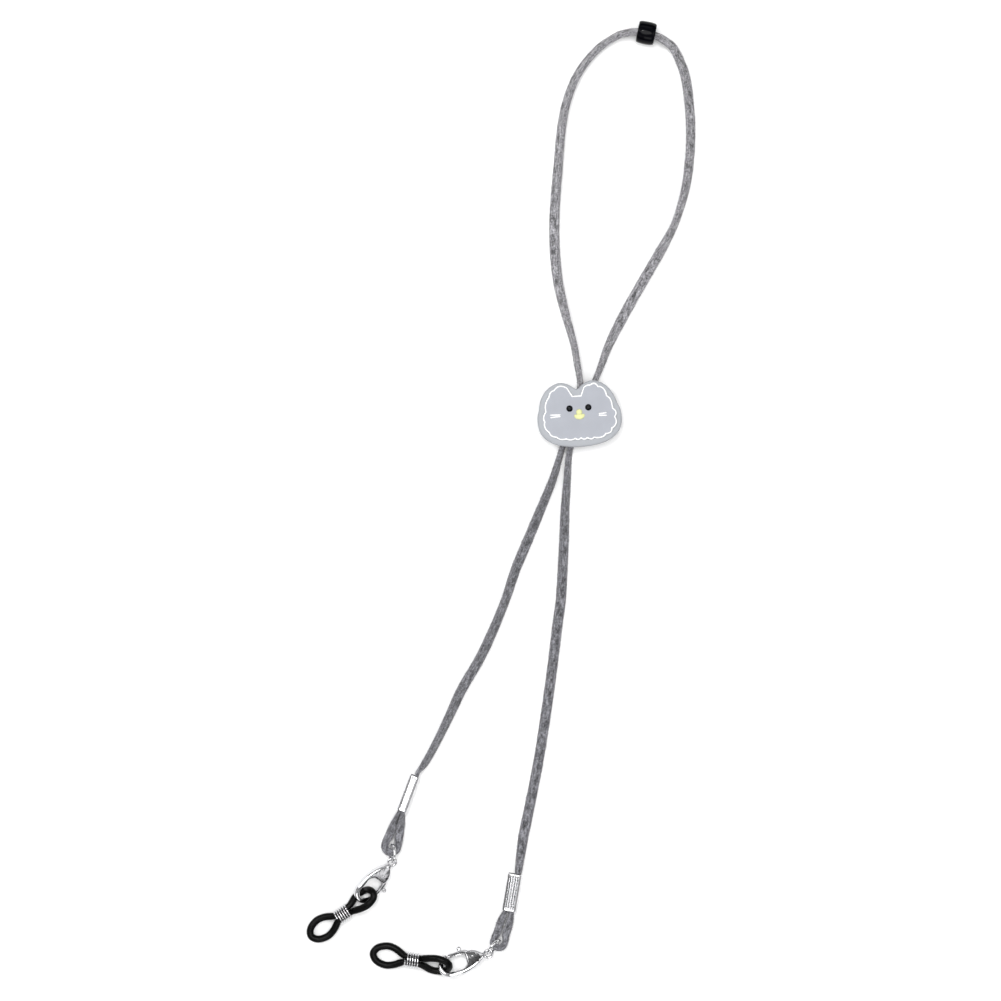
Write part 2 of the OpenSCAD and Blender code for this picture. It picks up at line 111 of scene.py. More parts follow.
def paint(code):
    """An sRGB hex value as linear red, green and blue."""
    channels = [int(code[i : i + 2], 16) / 255 for i in (1, 3, 5)]
    return tuple(c / 12.92 if c <= 0.04045 else ((c + 0.055) / 1.055) ** 2.4 for c in channels)


def colour(name, description, code):
    return FloatVectorProperty(
        name=name, description=description, subtype="COLOR", size=3, min=0, max=1, default=paint(code)
    )


def length(name, description, default, **limits):
    return FloatProperty(
        name=name, description=description, default=default, unit="LENGTH", precision=5, **limits
    )


class StrapSizes(bpy.types.PropertyGroup):
    lace_width: length("Lace width", "Width of the flat lace", 3 * MM, min=2 * MM, max=4 * MM)
    lace_thickness: length("Lace thickness", "Thickness of the flat lace", 1.5 * MM, min=MM, max=2 * MM)
    nap_length: length("Nap length", "Length of the raised fibres", 0.34 * MM, min=0.1 * MM, max=MM)
    nap_per_mm2: FloatProperty(
        name="Nap density", description="Fibres on each square millimetre", default=7, min=0, max=20
    )
    outline_width: length("Outline width", "Width of the raised fluffy outline", 0.42 * MM, min=0.2 * MM)
    ring_wire: length("Ring wire", "Diameter of the jump ring's wire", 0.76 * MM, min=0.5 * MM)
    ring_radius: length("Ring radius", "Radius of the jump ring at its wire", 2.4 * MM, min=2 * MM)
    clasp_thickness: length("Clasp thickness", "Thickness of the cast clasp", 2 * MM, min=1.5 * MM)
    rubber_diameter: length("Rubber diameter", "Diameter of the temple loop's rubber", 2 * MM, min=MM)
    coil_wire: length("Coil wire", "Diameter of the coil's wire", 0.45 * MM, min=0.3 * MM)
    coil_turns: FloatProperty(name="Coil turns", description="Turns of the coil", default=5.5, min=2, max=8)
    seed: IntProperty(name="Seed", description="Seed of the scattered nap", default=7)


class StrapColours(bpy.types.PropertyGroup):
    lace_neck: colour("Neck lace", "Suede of the neck stretch", "#87868A")
    # The tails' suede is the same lace's colour made darker: painted shade
    lace_tail_painted_shade: colour("Tail lace", "Suede of the tails, darkened as painted shade", "#6A6A6F")
    keeper: colour("Keeper", "Soft moulding of the keeper's back and rim", "#9EA1A6")
    panel: colour("Panel", "Raised field of the keeper's face", "#9FA2AA")
    white: colour("White", "Outline and whiskers", "#FFFFFF")
    yellow: colour("Yellow", "Nose and mouth", "#D9DB9C")
    eye: colour("Eye", "Eyes of the keeper's face", "#07090B")
    plating: colour("Plating", "Bright nickel plating", "#DADADC")
    rubber: colour("Rubber", "Black rubber of the temple loops", "#060606")
    bead: colour("Bead", "Black moulded bead", "#050508")
    floor: colour("Floor", "Paper that the strap lies on", "#FDFDFD")


def sizes():
    return bpy.context.scene.strap_sizes


def colours():
    return bpy.context.scene.strap_colours


# ---------------------------------------------------------------- materials


def add(tree, kind, settings=(), inputs=(), stops=()):
    """A node with its settings, its inputs as values or linked sockets, and its (place, colour) stops."""
    node = tree.nodes.new(kind)
    for name, value in dict(settings).items():
        setattr(node, name, value)
    for name, value in dict(inputs).items():
        socket = node.inputs[name]
        if isinstance(value, bpy.types.NodeSocket):
            tree.links.new(value, socket)
        else:
            socket.default_value = value
    for i, (place, rgb) in enumerate(stops):
        elements = node.color_ramp.elements
        stop = elements[i] if i < len(elements) else elements.new(place)
        stop.position = place
        stop.color = (*rgb, 1)
    return node


def tint(rgb, amount):
    return tuple(min(1.0, c * amount) for c in rgb)


def finish_of(name, surface):
    """A material with one Principled shader; surface(tree, place) gives its inputs and bump."""
    known = bpy.data.materials.get(name)
    if known:
        return known
    material = bpy.data.materials.new(name)
    material.use_nodes = True
    tree = material.node_tree
    tree.nodes.clear()
    place = add(tree, "ShaderNodeTexCoord").outputs["Object"]
    inputs, height, depth = surface(tree, place)
    if height is not None:
        bump = add(tree, "ShaderNodeBump", inputs={"Height": height, "Distance": depth, "Strength": 1.0})
        inputs["Normal"] = bump.outputs["Normal"]
    shader = add(tree, "ShaderNodeBsdfPrincipled", inputs=inputs)
    add(tree, "ShaderNodeOutputMaterial", inputs={"Surface": shader.outputs["BSDF"]})
    return material


def suede(name, rgb):
    """Faux suede lace, split and brushed microfibre: no gloss, a soft sheen and a mottled nap."""

    def surface(tree, place):
        # Streaks brushed along the lace, whose second texture coordinate runs along it in metres, and tufts
        # of 0.6 mm; both are coarser than the real fibres so that they show
        run = add(tree, "ShaderNodeUVMap", {"uv_map": "Run"}).outputs["UV"]
        drawn = add(
            tree, "ShaderNodeVectorMath", {"operation": "MULTIPLY"}, {0: run, 1: (22.0, 0.35 / MM, 0.0)}
        )
        streaks = add(
            tree, "ShaderNodeTexNoise",
            inputs={"Vector": drawn.outputs["Vector"], "Scale": 1.0, "Detail": 3.0, "Roughness": 0.7},
        )
        tufts = add(
            tree, "ShaderNodeTexNoise",
            inputs={"Vector": place, "Scale": 1 / (0.6 * MM), "Detail": 5.0, "Roughness": 0.85},
        )
        mixed = add(
            tree, "ShaderNodeMix", {"data_type": "FLOAT"},
            {0: 0.5, 2: streaks.outputs["Fac"], 3: tufts.outputs["Fac"]},
        )
        base = add(
            tree, "ShaderNodeValToRGB", inputs={"Fac": mixed.outputs[0]},
            stops=[(at, tint(rgb, share)) for at, share in ((0.39, 0.08), (0.46, 0.55), (0.52, 1.2), (0.6, 2.4))],
        )
        inputs = {
            "Base Color": base.outputs["Color"], "Roughness": 0.95, "Sheen Weight": 0.25, "Sheen Roughness": 0.6,
        }
        return inputs, tufts.outputs["Fac"], 0.3 * MM

    return finish_of(name, surface)


def patterned(
    name, rgb, tones, colour_noise, rough_noise=None, rough=None, bump_noise=None, depth=0, **fixed
):
    """A material whose colour, roughness and height each follow a noise; fixed are its other inputs.

    tones are (place, share of the colour) stops, rough is the noise's range and the roughness at its
    two ends, and a noise is its grain in millimetres, its detail and its own roughness.
    """

    def surface(tree, place):
        fields = {None: None}
        for noise_of in (colour_noise, rough_noise, bump_noise):
            if noise_of not in fields:
                grain, detail, mix = noise_of
                fields[noise_of] = add(
                    tree, "ShaderNodeTexNoise",
                    inputs={"Vector": place, "Scale": 1 / (grain * MM), "Detail": detail, "Roughness": mix},
                ).outputs["Fac"]
        base = add(
            tree, "ShaderNodeValToRGB", inputs={"Fac": fields[colour_noise]},
            stops=[(at, tint(rgb, share)) for at, share in tones],
        )
        inputs = {"Base Color": base.outputs["Color"], **fixed}
        if rough:
            names = ("From Min", "From Max", "To Min", "To Max")
            spread = add(
                tree, "ShaderNodeMapRange", inputs={"Value": fields[rough_noise], **dict(zip(names, rough))}
            )
            inputs["Roughness"] = spread.outputs["Result"]
        return inputs, fields[bump_noise], depth

    return finish_of(name, surface)


def nickel_plate(name, rgb, casting=0.0):
    """Bright nickel plating over die-cast zinc or brass: mirror-like, faintly wavy and smudged."""
    smudge = (1.6, 3.0, 0.6)
    # Ripples of the casting about 1 mm long
    ripple = (1.1, 2.0, 0.6)
    tones = ((0.3, 0.92), (0.7, 1.04))
    return patterned(
        name, rgb, tones, smudge, smudge, (0.35, 0.7, 0.04, 0.16), ripple, casting, Metallic=1.0
    )


def soft_vinyl(name, rgb, depth=0.02 * MM):
    """Soft moulded vinyl, matt from a fine-spark mould: a broad dull highlight and a fine tooth."""
    cloud, tooth = (5, 3.0, 0.6), (0.22, 2.0, 0.6)
    tones = ((0.3, 0.965), (0.7, 1.03))
    return patterned(name, rgb, tones, cloud, tooth, (0.3, 0.7, 0.5, 0.66), tooth, depth, IOR=1.5)


def black_rubber(name, rgb):
    """Extruded rubber cord, lightly waxed: deep black with a bright narrow highlight and dust."""
    dust = (0.5, 5.0, 0.75)
    tones = ((0.5, 1), (0.78, 2.6))
    dull = {"Specular IOR Level": 0.09}
    return patterned(name, rgb, tones, dust, dust, (0.3, 0.75, 0.2, 0.42), dust, 0.012 * MM, **dull)


def glossy_bead(name, rgb):
    """Injection-moulded acrylic bead, tumbled bright: black, with a mirror-sharp highlight."""
    flow = (2.5, 2.0, 0.6)
    gloss = {"Roughness": 0.06, "Specular IOR Level": 0.06}
    return patterned(name, rgb, ((0.3, 1), (0.7, 1.5)), flow, bump_noise=flow, depth=0.03 * MM, **gloss)


def paper(name, rgb):
    """Smooth white background paper, with faint fibres."""
    return patterned(name, rgb, ((0.3, 0.995), (0.7, 1)), (1.2, 2.0, 0.6), Roughness=0.9)


# ---------------------------------------------------------------- mesh makers


def piece(name, mesh, material, slot, body, *nodes):
    """A finished piece: smooth-shaded, with its material, riding on a body for its CAD nodes."""
    made = link(bpy.data.objects.new(name, mesh))
    if material:
        mesh.materials.clear()
        mesh.materials.append(material)
    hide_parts(*nodes)
    if body:
        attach(made, body)
    return made


def mesh_from(name, points, faces, smooth=True):
    mesh = bpy.data.meshes.new(name)
    mesh.from_pydata([tuple(p) for p in points], [], faces)
    mesh.validate()
    mesh.shade_smooth() if smooth else mesh.shade_flat()
    mesh.update()
    return mesh


def outward(mesh, angle=None):
    """Turns the faces outward, and keeps edges sharper than the angle crisp."""
    shape = bmesh.new()
    shape.from_mesh(mesh)
    bmesh.ops.remove_doubles(shape, verts=shape.verts, dist=1e-7)
    bmesh.ops.recalc_face_normals(shape, faces=shape.faces)
    shape.to_mesh(mesh)
    shape.free()
    if angle is not None:
        mesh.set_sharp_from_angle(angle=math.radians(angle))
    return mesh


def merged(name, meshes):
    """One mesh from several."""
    shape = bmesh.new()
    for mesh in meshes:
        shape.from_mesh(mesh)
    result = bpy.data.meshes.new(name)
    shape.to_mesh(result)
    shape.free()
    for mesh in meshes:
        bpy.data.meshes.remove(mesh)
    return result


def rings_mesh(name, rings, closed=False, caps=True):
    """Skin over equal rings of points."""
    count, sides = len(rings), len(rings[0])
    faces = []
    for i in range(count if closed else count - 1):
        for k in range(sides):
            a, b = i * sides + k, i * sides + (k + 1) % sides
            c, d = (i + 1) % count * sides + k, (i + 1) % count * sides + (k + 1) % sides
            faces.append((a, b, d, c))
    if caps and not closed:
        faces.append(tuple(range(sides))[::-1])
        faces.append(tuple(range((count - 1) * sides, count * sides)))
    return outward(mesh_from(name, [p for ring in rings for p in ring], faces), 50)


def blended(a, b, c, d, t):
    """Catmull-Rom curve through rows of numbers."""
    return [
        0.5 * (2 * q + (r - p) * t + (2 * p - 5 * q + 4 * r - s) * t * t + (3 * q - p - 3 * r + s) * t**3)
        for p, q, r, s in zip(a, b, c, d)
    ]


def smoothed(rows, steps, closed=False):
    n = len(rows)
    if closed:
        return [
            blended(rows[i - 1], rows[i], rows[(i + 1) % n], rows[(i + 2) % n], k / steps)
            for i in range(n)
            for k in range(steps)
        ]
    first = [2 * a - b for a, b in zip(rows[0], rows[1])]
    last = [2 * a - b for a, b in zip(rows[-1], rows[-2])]
    padded = [first, *rows, last]
    return [
        blended(*padded[i : i + 4], k / steps) for i in range(n - 1) for k in range(steps)
    ] + [list(rows[-1])]


def headings(points, closed=False):
    n = len(points)
    if closed:
        return [(points[(i + 1) % n] - points[i - 1]).normalized() for i in range(n)]
    return [(points[min(i + 1, n - 1)] - points[max(i - 1, 0)]).normalized() for i in range(n)]


def lathe(name, profile, place, steps=64):
    """A closed profile of (radius, height) in millimetres turned about the Z axis of a place."""
    profile = [(r * MM, z * MM) for r, z in profile]
    rings = []
    for i in range(steps):
        a = 2 * math.pi * i / steps
        rings.append([place @ Vector((r * math.cos(a), r * math.sin(a), z)) for r, z in profile])
    return rings_mesh(name, rings, closed=True)


def arc(centre, radius, start, end, steps=10):
    return [
        (
            centre[0] + radius * cosd(start + (end - start) * i / steps),
            centre[1] + radius * sind(start + (end - start) * i / steps),
        )
        for i in range(steps + 1)
    ]


def cast_plate(name, outlines, thickness, edge, place):
    """A flat casting with rounded edges, from closed outlines in millimetres; later ones are holes."""
    data = bpy.data.curves.new(name, "CURVE")
    data.dimensions = "2D"
    data.fill_mode = "BOTH"
    data.bevel_depth = edge
    data.bevel_resolution = 4
    data.offset = -edge
    data.extrude = thickness / 2 - edge
    for outline in outlines:
        spline = data.splines.new("POLY")
        spline.points.add(len(outline) - 1)
        for point, (x, y) in zip(spline.points, outline):
            point.co = (x * MM, y * MM, 0, 1)
        spline.use_cyclic_u = True
    holder = link(bpy.data.objects.new(name, data))
    mesh = evaluated(holder)
    bpy.data.objects.remove(holder)
    bpy.data.curves.remove(data)
    mesh.transform(place)
    mesh.shade_smooth()
    return outward(mesh, 40)


def cut(mesh, cutter):
    """The mesh with the cutter taken out of it."""
    body = link(bpy.data.objects.new("body", mesh))
    tool = link(bpy.data.objects.new("tool", cutter))
    taken = body.modifiers.new("Cut", "BOOLEAN")
    taken.object = tool
    taken.operation = "DIFFERENCE"
    taken.solver = "EXACT"
    result = evaluated(body)
    for part in (body, tool):
        bpy.data.objects.remove(part)
    bpy.data.meshes.remove(cutter)
    result.shade_smooth()
    return outward(result, 35)


# ---------------------------------------------------------------- geometry nodes


def geometry_tree(name, sockets):
    """An empty geometry tree with a Geometry input and output and named inputs of (kind, default)."""
    tree = bpy.data.node_groups.new(name, "GeometryNodeTree")
    tree.interface.new_socket("Geometry", in_out="INPUT", socket_type="NodeSocketGeometry")
    for label, (kind, default) in sockets.items():
        socket = tree.interface.new_socket(label, in_out="INPUT", socket_type=kind)
        if default is not None:
            socket.default_value = default
    tree.interface.new_socket("Geometry", in_out="OUTPUT", socket_type="NodeSocketGeometry")
    return tree, add(tree, "NodeGroupInput").outputs


def close_tree(tree, geometry, material):
    real = add(tree, "GeometryNodeRealizeInstances", inputs={"Geometry": geometry})
    dressed = add(
        tree, "GeometryNodeSetMaterial", inputs={"Geometry": real.outputs["Geometry"], "Material": material}
    )
    add(tree, "NodeGroupOutput", inputs={"Geometry": dressed.outputs["Geometry"]})
    return tree


def grown(mesh, tree, values):
    """The mesh that a geometry tree makes of another, as a plain mesh."""
    holder = link(bpy.data.objects.new(tree.name, mesh))
    growth = holder.modifiers.new(tree.name, "NODES")
    growth.node_group = tree
    for item in tree.interface.items_tree:
        if item.item_type == "SOCKET" and item.in_out == "INPUT" and item.name in values:
            growth[item.identifier] = values[item.name]
    result = evaluated(holder)
    holder.modifiers.clear()
    bpy.data.objects.remove(holder)
    return result


def nap_tree():
    """Short fibres lying over a lace, each one a thin leaning blade."""
    tree, given = geometry_tree("Lace nap", {
        "Density": ("NodeSocketFloat", 1.0),
        "Fibre Length": ("NodeSocketFloat", 0.0004),
        "Fibre Width": ("NodeSocketFloat", 0.00004),
        "Seed": ("NodeSocketInt", 7),
        "Material": ("NodeSocketMaterial", None),
    })
    seed = {"Seed": given["Seed"]}
    scatter = add(
        tree, "GeometryNodeDistributePointsOnFaces", {"distribute_method": "RANDOM"},
        {"Mesh": given["Geometry"], "Density": given["Density"], **seed},
    ).outputs
    blade = add(
        tree, "GeometryNodeMeshCone", {"fill_type": "NONE"},
        {"Vertices": 3, "Radius Top": 0.0, "Radius Bottom": given["Fibre Width"], "Depth": given["Fibre Length"]},
    )
    lean = add(
        tree, "FunctionNodeRandomValue", {"data_type": "FLOAT_VECTOR"},
        {"Min": (-1.35, -1.35, -3.14), "Max": (1.35, 1.35, 3.14), **seed},
    )
    turned = add(
        tree, "FunctionNodeRotateEuler", {"space": "LOCAL"},
        {"Rotation": scatter["Rotation"], "Rotate By": lean.outputs["Value"]},
    )
    size = add(tree, "FunctionNodeRandomValue", {"data_type": "FLOAT"}, seed)
    for socket, value in zip([s for s in size.inputs if s.enabled and s.type == "VALUE"], (0.5, 1.2)):
        socket.default_value = value
    planted = add(tree, "GeometryNodeInstanceOnPoints", inputs={
        "Points": scatter["Points"],
        "Instance": blade.outputs["Mesh"],
        "Rotation": turned.outputs["Rotation"],
        "Scale": [s for s in size.outputs if s.enabled][0],
    })
    joined = add(tree, "GeometryNodeJoinGeometry")
    for source in (planted.outputs["Instances"], given["Geometry"]):
        tree.links.new(source, joined.inputs["Geometry"])
    return close_tree(tree, joined.outputs["Geometry"], given["Material"])


def coil_tree():
    """A close-wound wire coil along Z, from its turns, length, radius and wire."""
    tree, given = geometry_tree("Wire coil", {
        "Turns": ("NodeSocketFloat", 5.5),
        "Length": ("NodeSocketFloat", 0.004),
        "Radius": ("NodeSocketFloat", 0.002),
        "Wire": ("NodeSocketFloat", 0.00045),
        "Material": ("NodeSocketMaterial", None),
    })
    spiral = add(tree, "GeometryNodeCurveSpiral", inputs={
        "Resolution": 48,
        "Rotations": given["Turns"],
        "Start Radius": given["Radius"],
        "End Radius": given["Radius"],
        "Height": given["Length"],
    })
    half = add(tree, "ShaderNodeMath", {"operation": "MULTIPLY"}, {0: given["Wire"], 1: 0.5})
    section = add(
        tree, "GeometryNodeCurvePrimitiveCircle", inputs={"Resolution": 12, "Radius": half.outputs["Value"]}
    )
    wire = add(tree, "GeometryNodeCurveToMesh", inputs={
        "Curve": spiral.outputs["Curve"], "Profile Curve": section.outputs["Curve"], "Fill Caps": True,
    })
    smooth = add(tree, "GeometryNodeSetShadeSmooth", inputs={"Geometry": wire.outputs["Mesh"]})
    return close_tree(tree, smooth.outputs["Geometry"], given["Material"])


# ---------------------------------------------------------------- the lace

# Route of the lace as x, y and roll, in millimetres and degrees: 0 lies flat, 90 stands on edge
NECK_LEFT = [
    (1.0, 9.6, 85), (0.2, 14.4, 75), (-0.8, 20, 72), (-3.0, 28, 58), (-5.0, 36.4, 35), (-6.0, 45, 20),
    (-6.2, 53, 20), (-5.8, 62, 35), (-5.1, 70, 45), (-4.4, 78.4, 50), (-3.0, 86.8, 55), (0.2, 95.2, 58),
    (5.6, 102.2, 60),
]
NECK_RIGHT = [
    (30.4, 95.2, 38), (31.6, 86.8, 38), (32.0, 78.4, 42), (31.5, 70, 45), (30.2, 62, 55), (27.3, 53, 65),
    (22.9, 44.8, 30), (18.0, 36.4, 10), (13.3, 28, 20), (9.1, 19.6, 55), (6.6, 13, 75), (5.1, 9.6, 85),
]
TAILS = {
    "left": [
        (-4.4, -10.6, 80), (-6.7, -18.2, 60), (-10.1, -26.6, 45), (-13.6, -35, 30), (-17.1, -43.4, 35),
        (-19.9, -51.8, 50), (-23.3, -60.2, 40), (-27.3, -68.6, 30), (-32.2, -77, 30), (-36.1, -85.4, 50),
        (-40.3, -93.8, 62), (-42.7, -97.9, 70),
    ],
    "right": [
        (-2.0, -10.6, 80), (-2.6, -18.2, 65), (-3.2, -26.6, 50), (-3.5, -35, 35), (-3.9, -43.4, 30),
        (-4.4, -51.8, 20), (-5.5, -60.2, 15), (-6.5, -68.6, 10), (-7.6, -77, 10), (-8.8, -85.4, 5),
        (-10.1, -93.8, 0), (-11.6, -102.2, 0), (-13.3, -110.6, 0), (-15.0, -119, 0),
    ],
}
# Turn and roll of each ferrule, and the bend, length and strand width of the lace's eye beyond it
FERRULES = {"left": (-20.5, 90, 4, 13.3, 2.3), "right": (-9.4, 0, -8, 11.8, 2)}
# Place, half width and half thickness of each of the two strands squeezed in a ferrule
STRANDS = {"left": (0.52, 1.5, 0.5), "right": (0.82, 0.8, 0.95)}
FERRULE_SIZE = (4.1, 2.9, 10.5)
HALF_W, HALF_T = 1.5, 0.75
GUIDE_TURN, GUIDE_GAP, GUIDE_LENGTH, GUIDE_HEIGHT = -16.5, 1.3, 12, 4.5
# Height of the lace in its channels, and places along a channel, the last one just outside it
GUIDE_Z, IN_CHANNEL = 2.3, (0, 3, 6, 7.2)
# Height of the lace's eye above the table, radius of its hole, and the cut end's place in the ferrule
EYE_Z, EYE_HOLE, CUT_END = 1.75, 0.65, 3.7
BEAD_ARC = JOINTS["bead_travel"]["pos_m"]
BEAD_ANGLE, BEAD_REACH = 78.5, 14.5


def on_table(route):
    """Rows of x, y, z, roll, half width and half thickness for a lace lying on the table."""
    rows = []
    for x, y, roll in route:
        turn = math.radians(roll)
        z = HALF_W * abs(math.sin(turn)) + HALF_T * abs(math.cos(turn))
        rows.append((x, y, z, roll, HALF_W, HALF_T))
    return rows


def in_guide(side, along):
    turn = math.radians(GUIDE_TURN)
    return (
        side * GUIDE_GAP * math.cos(turn) - along * math.sin(turn),
        side * GUIDE_GAP * math.sin(turn) + along * math.cos(turn),
        GUIDE_Z, 90, HALF_W, HALF_T,
    )


def on_arc(angle, z, roll):
    turn = math.radians(angle)
    return (
        BEAD_ARC[0] / MM + BEAD_REACH * math.cos(turn),
        BEAD_ARC[1] / MM + BEAD_REACH * math.sin(turn),
        z, roll, HALF_W, HALF_T,
    )


def ferrule_place(side):
    """Matrix of a ferrule: its middle, with X across, Y along it and Z up, before its roll."""
    turn = math.radians(FERRULES[side][0])
    return Matrix.Translation(middle_of("ferrule_" + side)) @ Matrix.Rotation(turn, 4, "Z")


def crimped(side, strand, y):
    """The lace squeezed in a ferrule, in the right or left of its two strands."""
    off, half, thin = STRANDS[side]
    p = ferrule_place(side) @ (Vector((strand * off, y, 0)) * MM)
    return (*[c / MM for c in p], FERRULES[side][1], half, thin)


def neck_rows():
    return (
        [in_guide(-1, s) for s in IN_CHANNEL]
        + on_table(NECK_LEFT)
        + [on_arc(112, 1.8, 60), on_arc(101, 2.9, 60), on_arc(92, 3.2, 60), on_arc(BEAD_ANGLE, 3.2, 60)]
        + [on_arc(65, 3.2, 55), on_arc(54, 2.9, 50), on_arc(41, 1.8, 45)]
        + on_table(NECK_RIGHT)
        + [in_guide(1, s) for s in IN_CHANNEL[::-1]]
    )


def tail_rows(side):
    lane = {"left": -1, "right": 1}[side]
    end = FERRULE_SIZE[2] / 2
    # Just above the ferrule the lace spreads out to its full width
    squeezed = crimped(side, 1, end + 1.5)
    spread = (*squeezed[:4], (squeezed[4] + HALF_W) / 2, (squeezed[5] + HALF_T) / 2)
    return (
        [in_guide(lane, -s) for s in IN_CHANNEL]
        + on_table(TAILS[side])
        + [spread, crimped(side, 1, end), crimped(side, 1, CUT_END)]
    )


def eye_rows(side):
    """The folded end of the lace: down through the ferrule, round the ring's eye and back up."""
    turn, roll, bend, reach, strand = FERRULES[side]
    base = -FERRULE_SIZE[2] / 2
    eye = base - reach + strand + EYE_HOLE
    half = strand / 2
    place = ferrule_place(side)
    neck_z = place.translation.z / MM
    flat = cosd(roll)

    def row(x, y, z, lean, width):
        bent = Matrix.Rotation(math.radians(bend), 3, "Z") @ Vector((x, y - base, 0)) + Vector((0, base, 0))
        p = place @ (bent * MM)
        return (p.x / MM, p.y / MM, z, lean, width, 0.5)

    # Half width of a strand where it turns from the ferrule's roll to flat, and where it lies flat
    turning = (half + STRANDS[side][1]) / 2 + 0.25 * flat
    wide = half + 0.2

    def strand_rows(s):
        return [
            row(
                s * (turning * (1 - 0.32 * (1 - flat)) + 0.05), (eye + base) / 2 + 1.5,
                (neck_z + EYE_Z) / 2, s * roll / 2, turning,
            ),
            row(s * (wide + 0.05), eye + 2.6, EYE_Z, 0, wide),
            row(s * (half + EYE_HOLE - 0.05), eye + 1.1, EYE_Z, 0, half),
        ]

    round_eye = [
        row(
            (half + EYE_HOLE) * cosd(a), eye + (half + EYE_HOLE) * sind(a),
            EYE_Z, 0, half,
        )
        for a in range(-10, -171, -20)
    ]
    down = [crimped(side, 1, y) for y in (CUT_END, 1, base + 0.2)]
    up = [crimped(side, -1, y) for y in (base + 0.2, 0, -base - 0.5)]
    up = [(*p[:3], -p[3], *p[4:]) for p in up]
    return down + strand_rows(1) + round_eye + strand_rows(-1)[::-1] + up


def lace_section(half, thin, sides=24):
    """A flat section with rounded edges, a little narrower than the lace for its nap to stand on."""
    half -= 0.08
    points = []
    for k in range(sides):
        a = 2 * math.pi * (k + 0.5) / sides
        c, s = math.cos(a), math.sin(a)
        points.append(
            (half * math.copysign(abs(c) ** 0.42, c), thin * math.copysign(abs(s) ** 0.5, s))
        )
    return points


def lace_mesh(name, rows, steps):
    """The lace swept along its rows, a little uneven, with rings and the line through their middles."""
    rows = smoothed([[float(v) for v in row] for row in rows], steps)
    points = [Vector(row[:3]) for row in rows]
    rings = []
    for i, (row, along) in enumerate(zip(rows, headings(points))):
        side = along.cross(Vector((0, 0, 1))).normalized()
        up = side.cross(along)
        roll = math.radians(row[3])
        ring = []
        for x, y in lace_section(row[4], row[5]):
            p = points[i] + side * (x * math.cos(roll) - y * math.sin(roll))
            p += up * (x * math.sin(roll) + y * math.cos(roll))
            swell = 0.06 * noise.noise(p * 0.55) + 0.04 * noise.noise(p * 1.7)
            p += (p - points[i]).normalized() * (swell - 0.05)
            p.z = max(p.z, 0.01)
            ring.append(p * MM)
        rings.append(ring)
    mesh = rings_mesh(name, rings)
    # A texture coordinate for the brushed streaks: round the lace, and along it in metres
    line = [p * MM for p in points]
    ways = [0.0]
    for a, b in zip(line, line[1:]):
        ways.append(ways[-1] + (b - a).length)
    sides = len(rings[0])

    def spot(p):
        return tuple(round(c, 6) for c in p)

    place_of = {
        spot(p): (k / sides, way) for ring, way in zip(rings, ways) for k, p in enumerate(ring)
    }
    layer = mesh.uv_layers.new(name="Run")
    for loop in mesh.loops:
        layer.data[loop.index].uv = place_of.get(spot(mesh.vertices[loop.vertex_index].co), (0, 0))
    return mesh, line


def napped(mesh, material):
    """The lace with its nap."""
    small = sizes()
    tree = bpy.data.node_groups.get("Lace nap") or nap_tree()
    values = {
        "Density": small.nap_per_mm2 / (MM * MM),
        "Fibre Length": small.nap_length,
        "Fibre Width": 0.03 * MM,
        "Seed": small.seed,
        "Material": material,
    }
    return grown(mesh, tree, values)


class STRAP_OT_lace(bpy.types.Operator):
    """Build the lace: the neck stretch, the two tails and the folded end at each ferrule"""

    bl_idname = "strap.lace"
    bl_label = "Lace"

    def execute(self, context):
        neck = suede("Faux suede, brushed light", colours().lace_neck)
        # The tails take a darker copy of the same lace's suede: painted shade
        tail = suede("Faux suede, brushed dark", colours().lace_tail_painted_shade)
        up = Vector(JOINTS["slider_slide"]["axis"])
        runs = [("neck_cord", neck_rows(), neck, "suede_neck", up, "object")]
        runs += [
            ("tail_cord_" + s, tail_rows(s), tail, "suede_tails", -up, "fitting") for s in SIDES
        ]
        for node in ("end_loop_" + side for side in SIDES):
            mesh = lace_mesh(node, eye_rows(node.removeprefix("end_loop_")), 5)[0]
            piece(node + "_suede", napped(mesh, tail), None, "suede_tails", "lace", node)
        for name, rows, material, slot, away, end in runs:
            mesh, line = lace_mesh(name, rows, 8)
            made = piece(name + "_suede", napped(mesh, material), None, slot, None, name)
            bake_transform(made)
        return {"FINISHED"}


# ---------------------------------------------------------------- the keeper

FACE_W, FACE_H, EAR_H = 23.5, 15.4, 3.3
FACE_TILT, FACE_SHIFT = 4, (0.7, -1.3)
FACE_T, PANEL_T, FUR_INSET = 1.6, 0.5, 1.8
EYE_X, EYE_Y, EYE_R = 2.62, 3.1, 0.9
NOSE_Y, NOSE_R, MOUTH_Y, MOUTH_FLAT = 1.95, 0.85, 1.05, 0.78
# Place, length and lean of each whisker
WHISKERS = ((-6.7, 1, 3, 3), (-6.7, 1.6, 3, -3), (6.5, 0.6, 2.4, -3), (6.5, 1.2, 2.4, 3))


def ears(a):
    """How much the two ears push the outline out at an angle in degrees."""

    def ear(off):
        spread = 46 if off < 0 else 31
        return cosd(90 * off / spread) ** 1.3 if abs(off) < spread else 0

    a = (a + 90) % 360 - 90
    return ear(a - 65) + ear(119 - a)


def face_reach(a):
    c, s = abs(cosd(a)), abs(sind(a))
    return EAR_H * ears(a) + ((c * 2 / FACE_W) ** 2.4 + (s * 2 / FACE_H) ** 2.4) ** (-1 / 2.4)


def fur_reach(a, inset):
    """The fluffy outline inside the rim, nearer to it on the ears, with tufts of uneven size."""
    c, s = cosd(a), sind(a)
    sweep = 10 * a + 85 * noise.noise(Vector((c * 2.2, s * 2.2, 3)))
    tuft = (0.42 + 0.12 * c) * abs(sind(sweep))
    reach = face_reach(a) - inset + 0.6 * ears(a) ** 3 - 0.5 * max(0, -s) + tuft
    # Between the ears it runs straight
    away = min(1, max(0, (abs(a - 93.5) - 11) / 4))
    return reach * away + (8.4 - inset) / max(s, 0.5) * (1 - away)


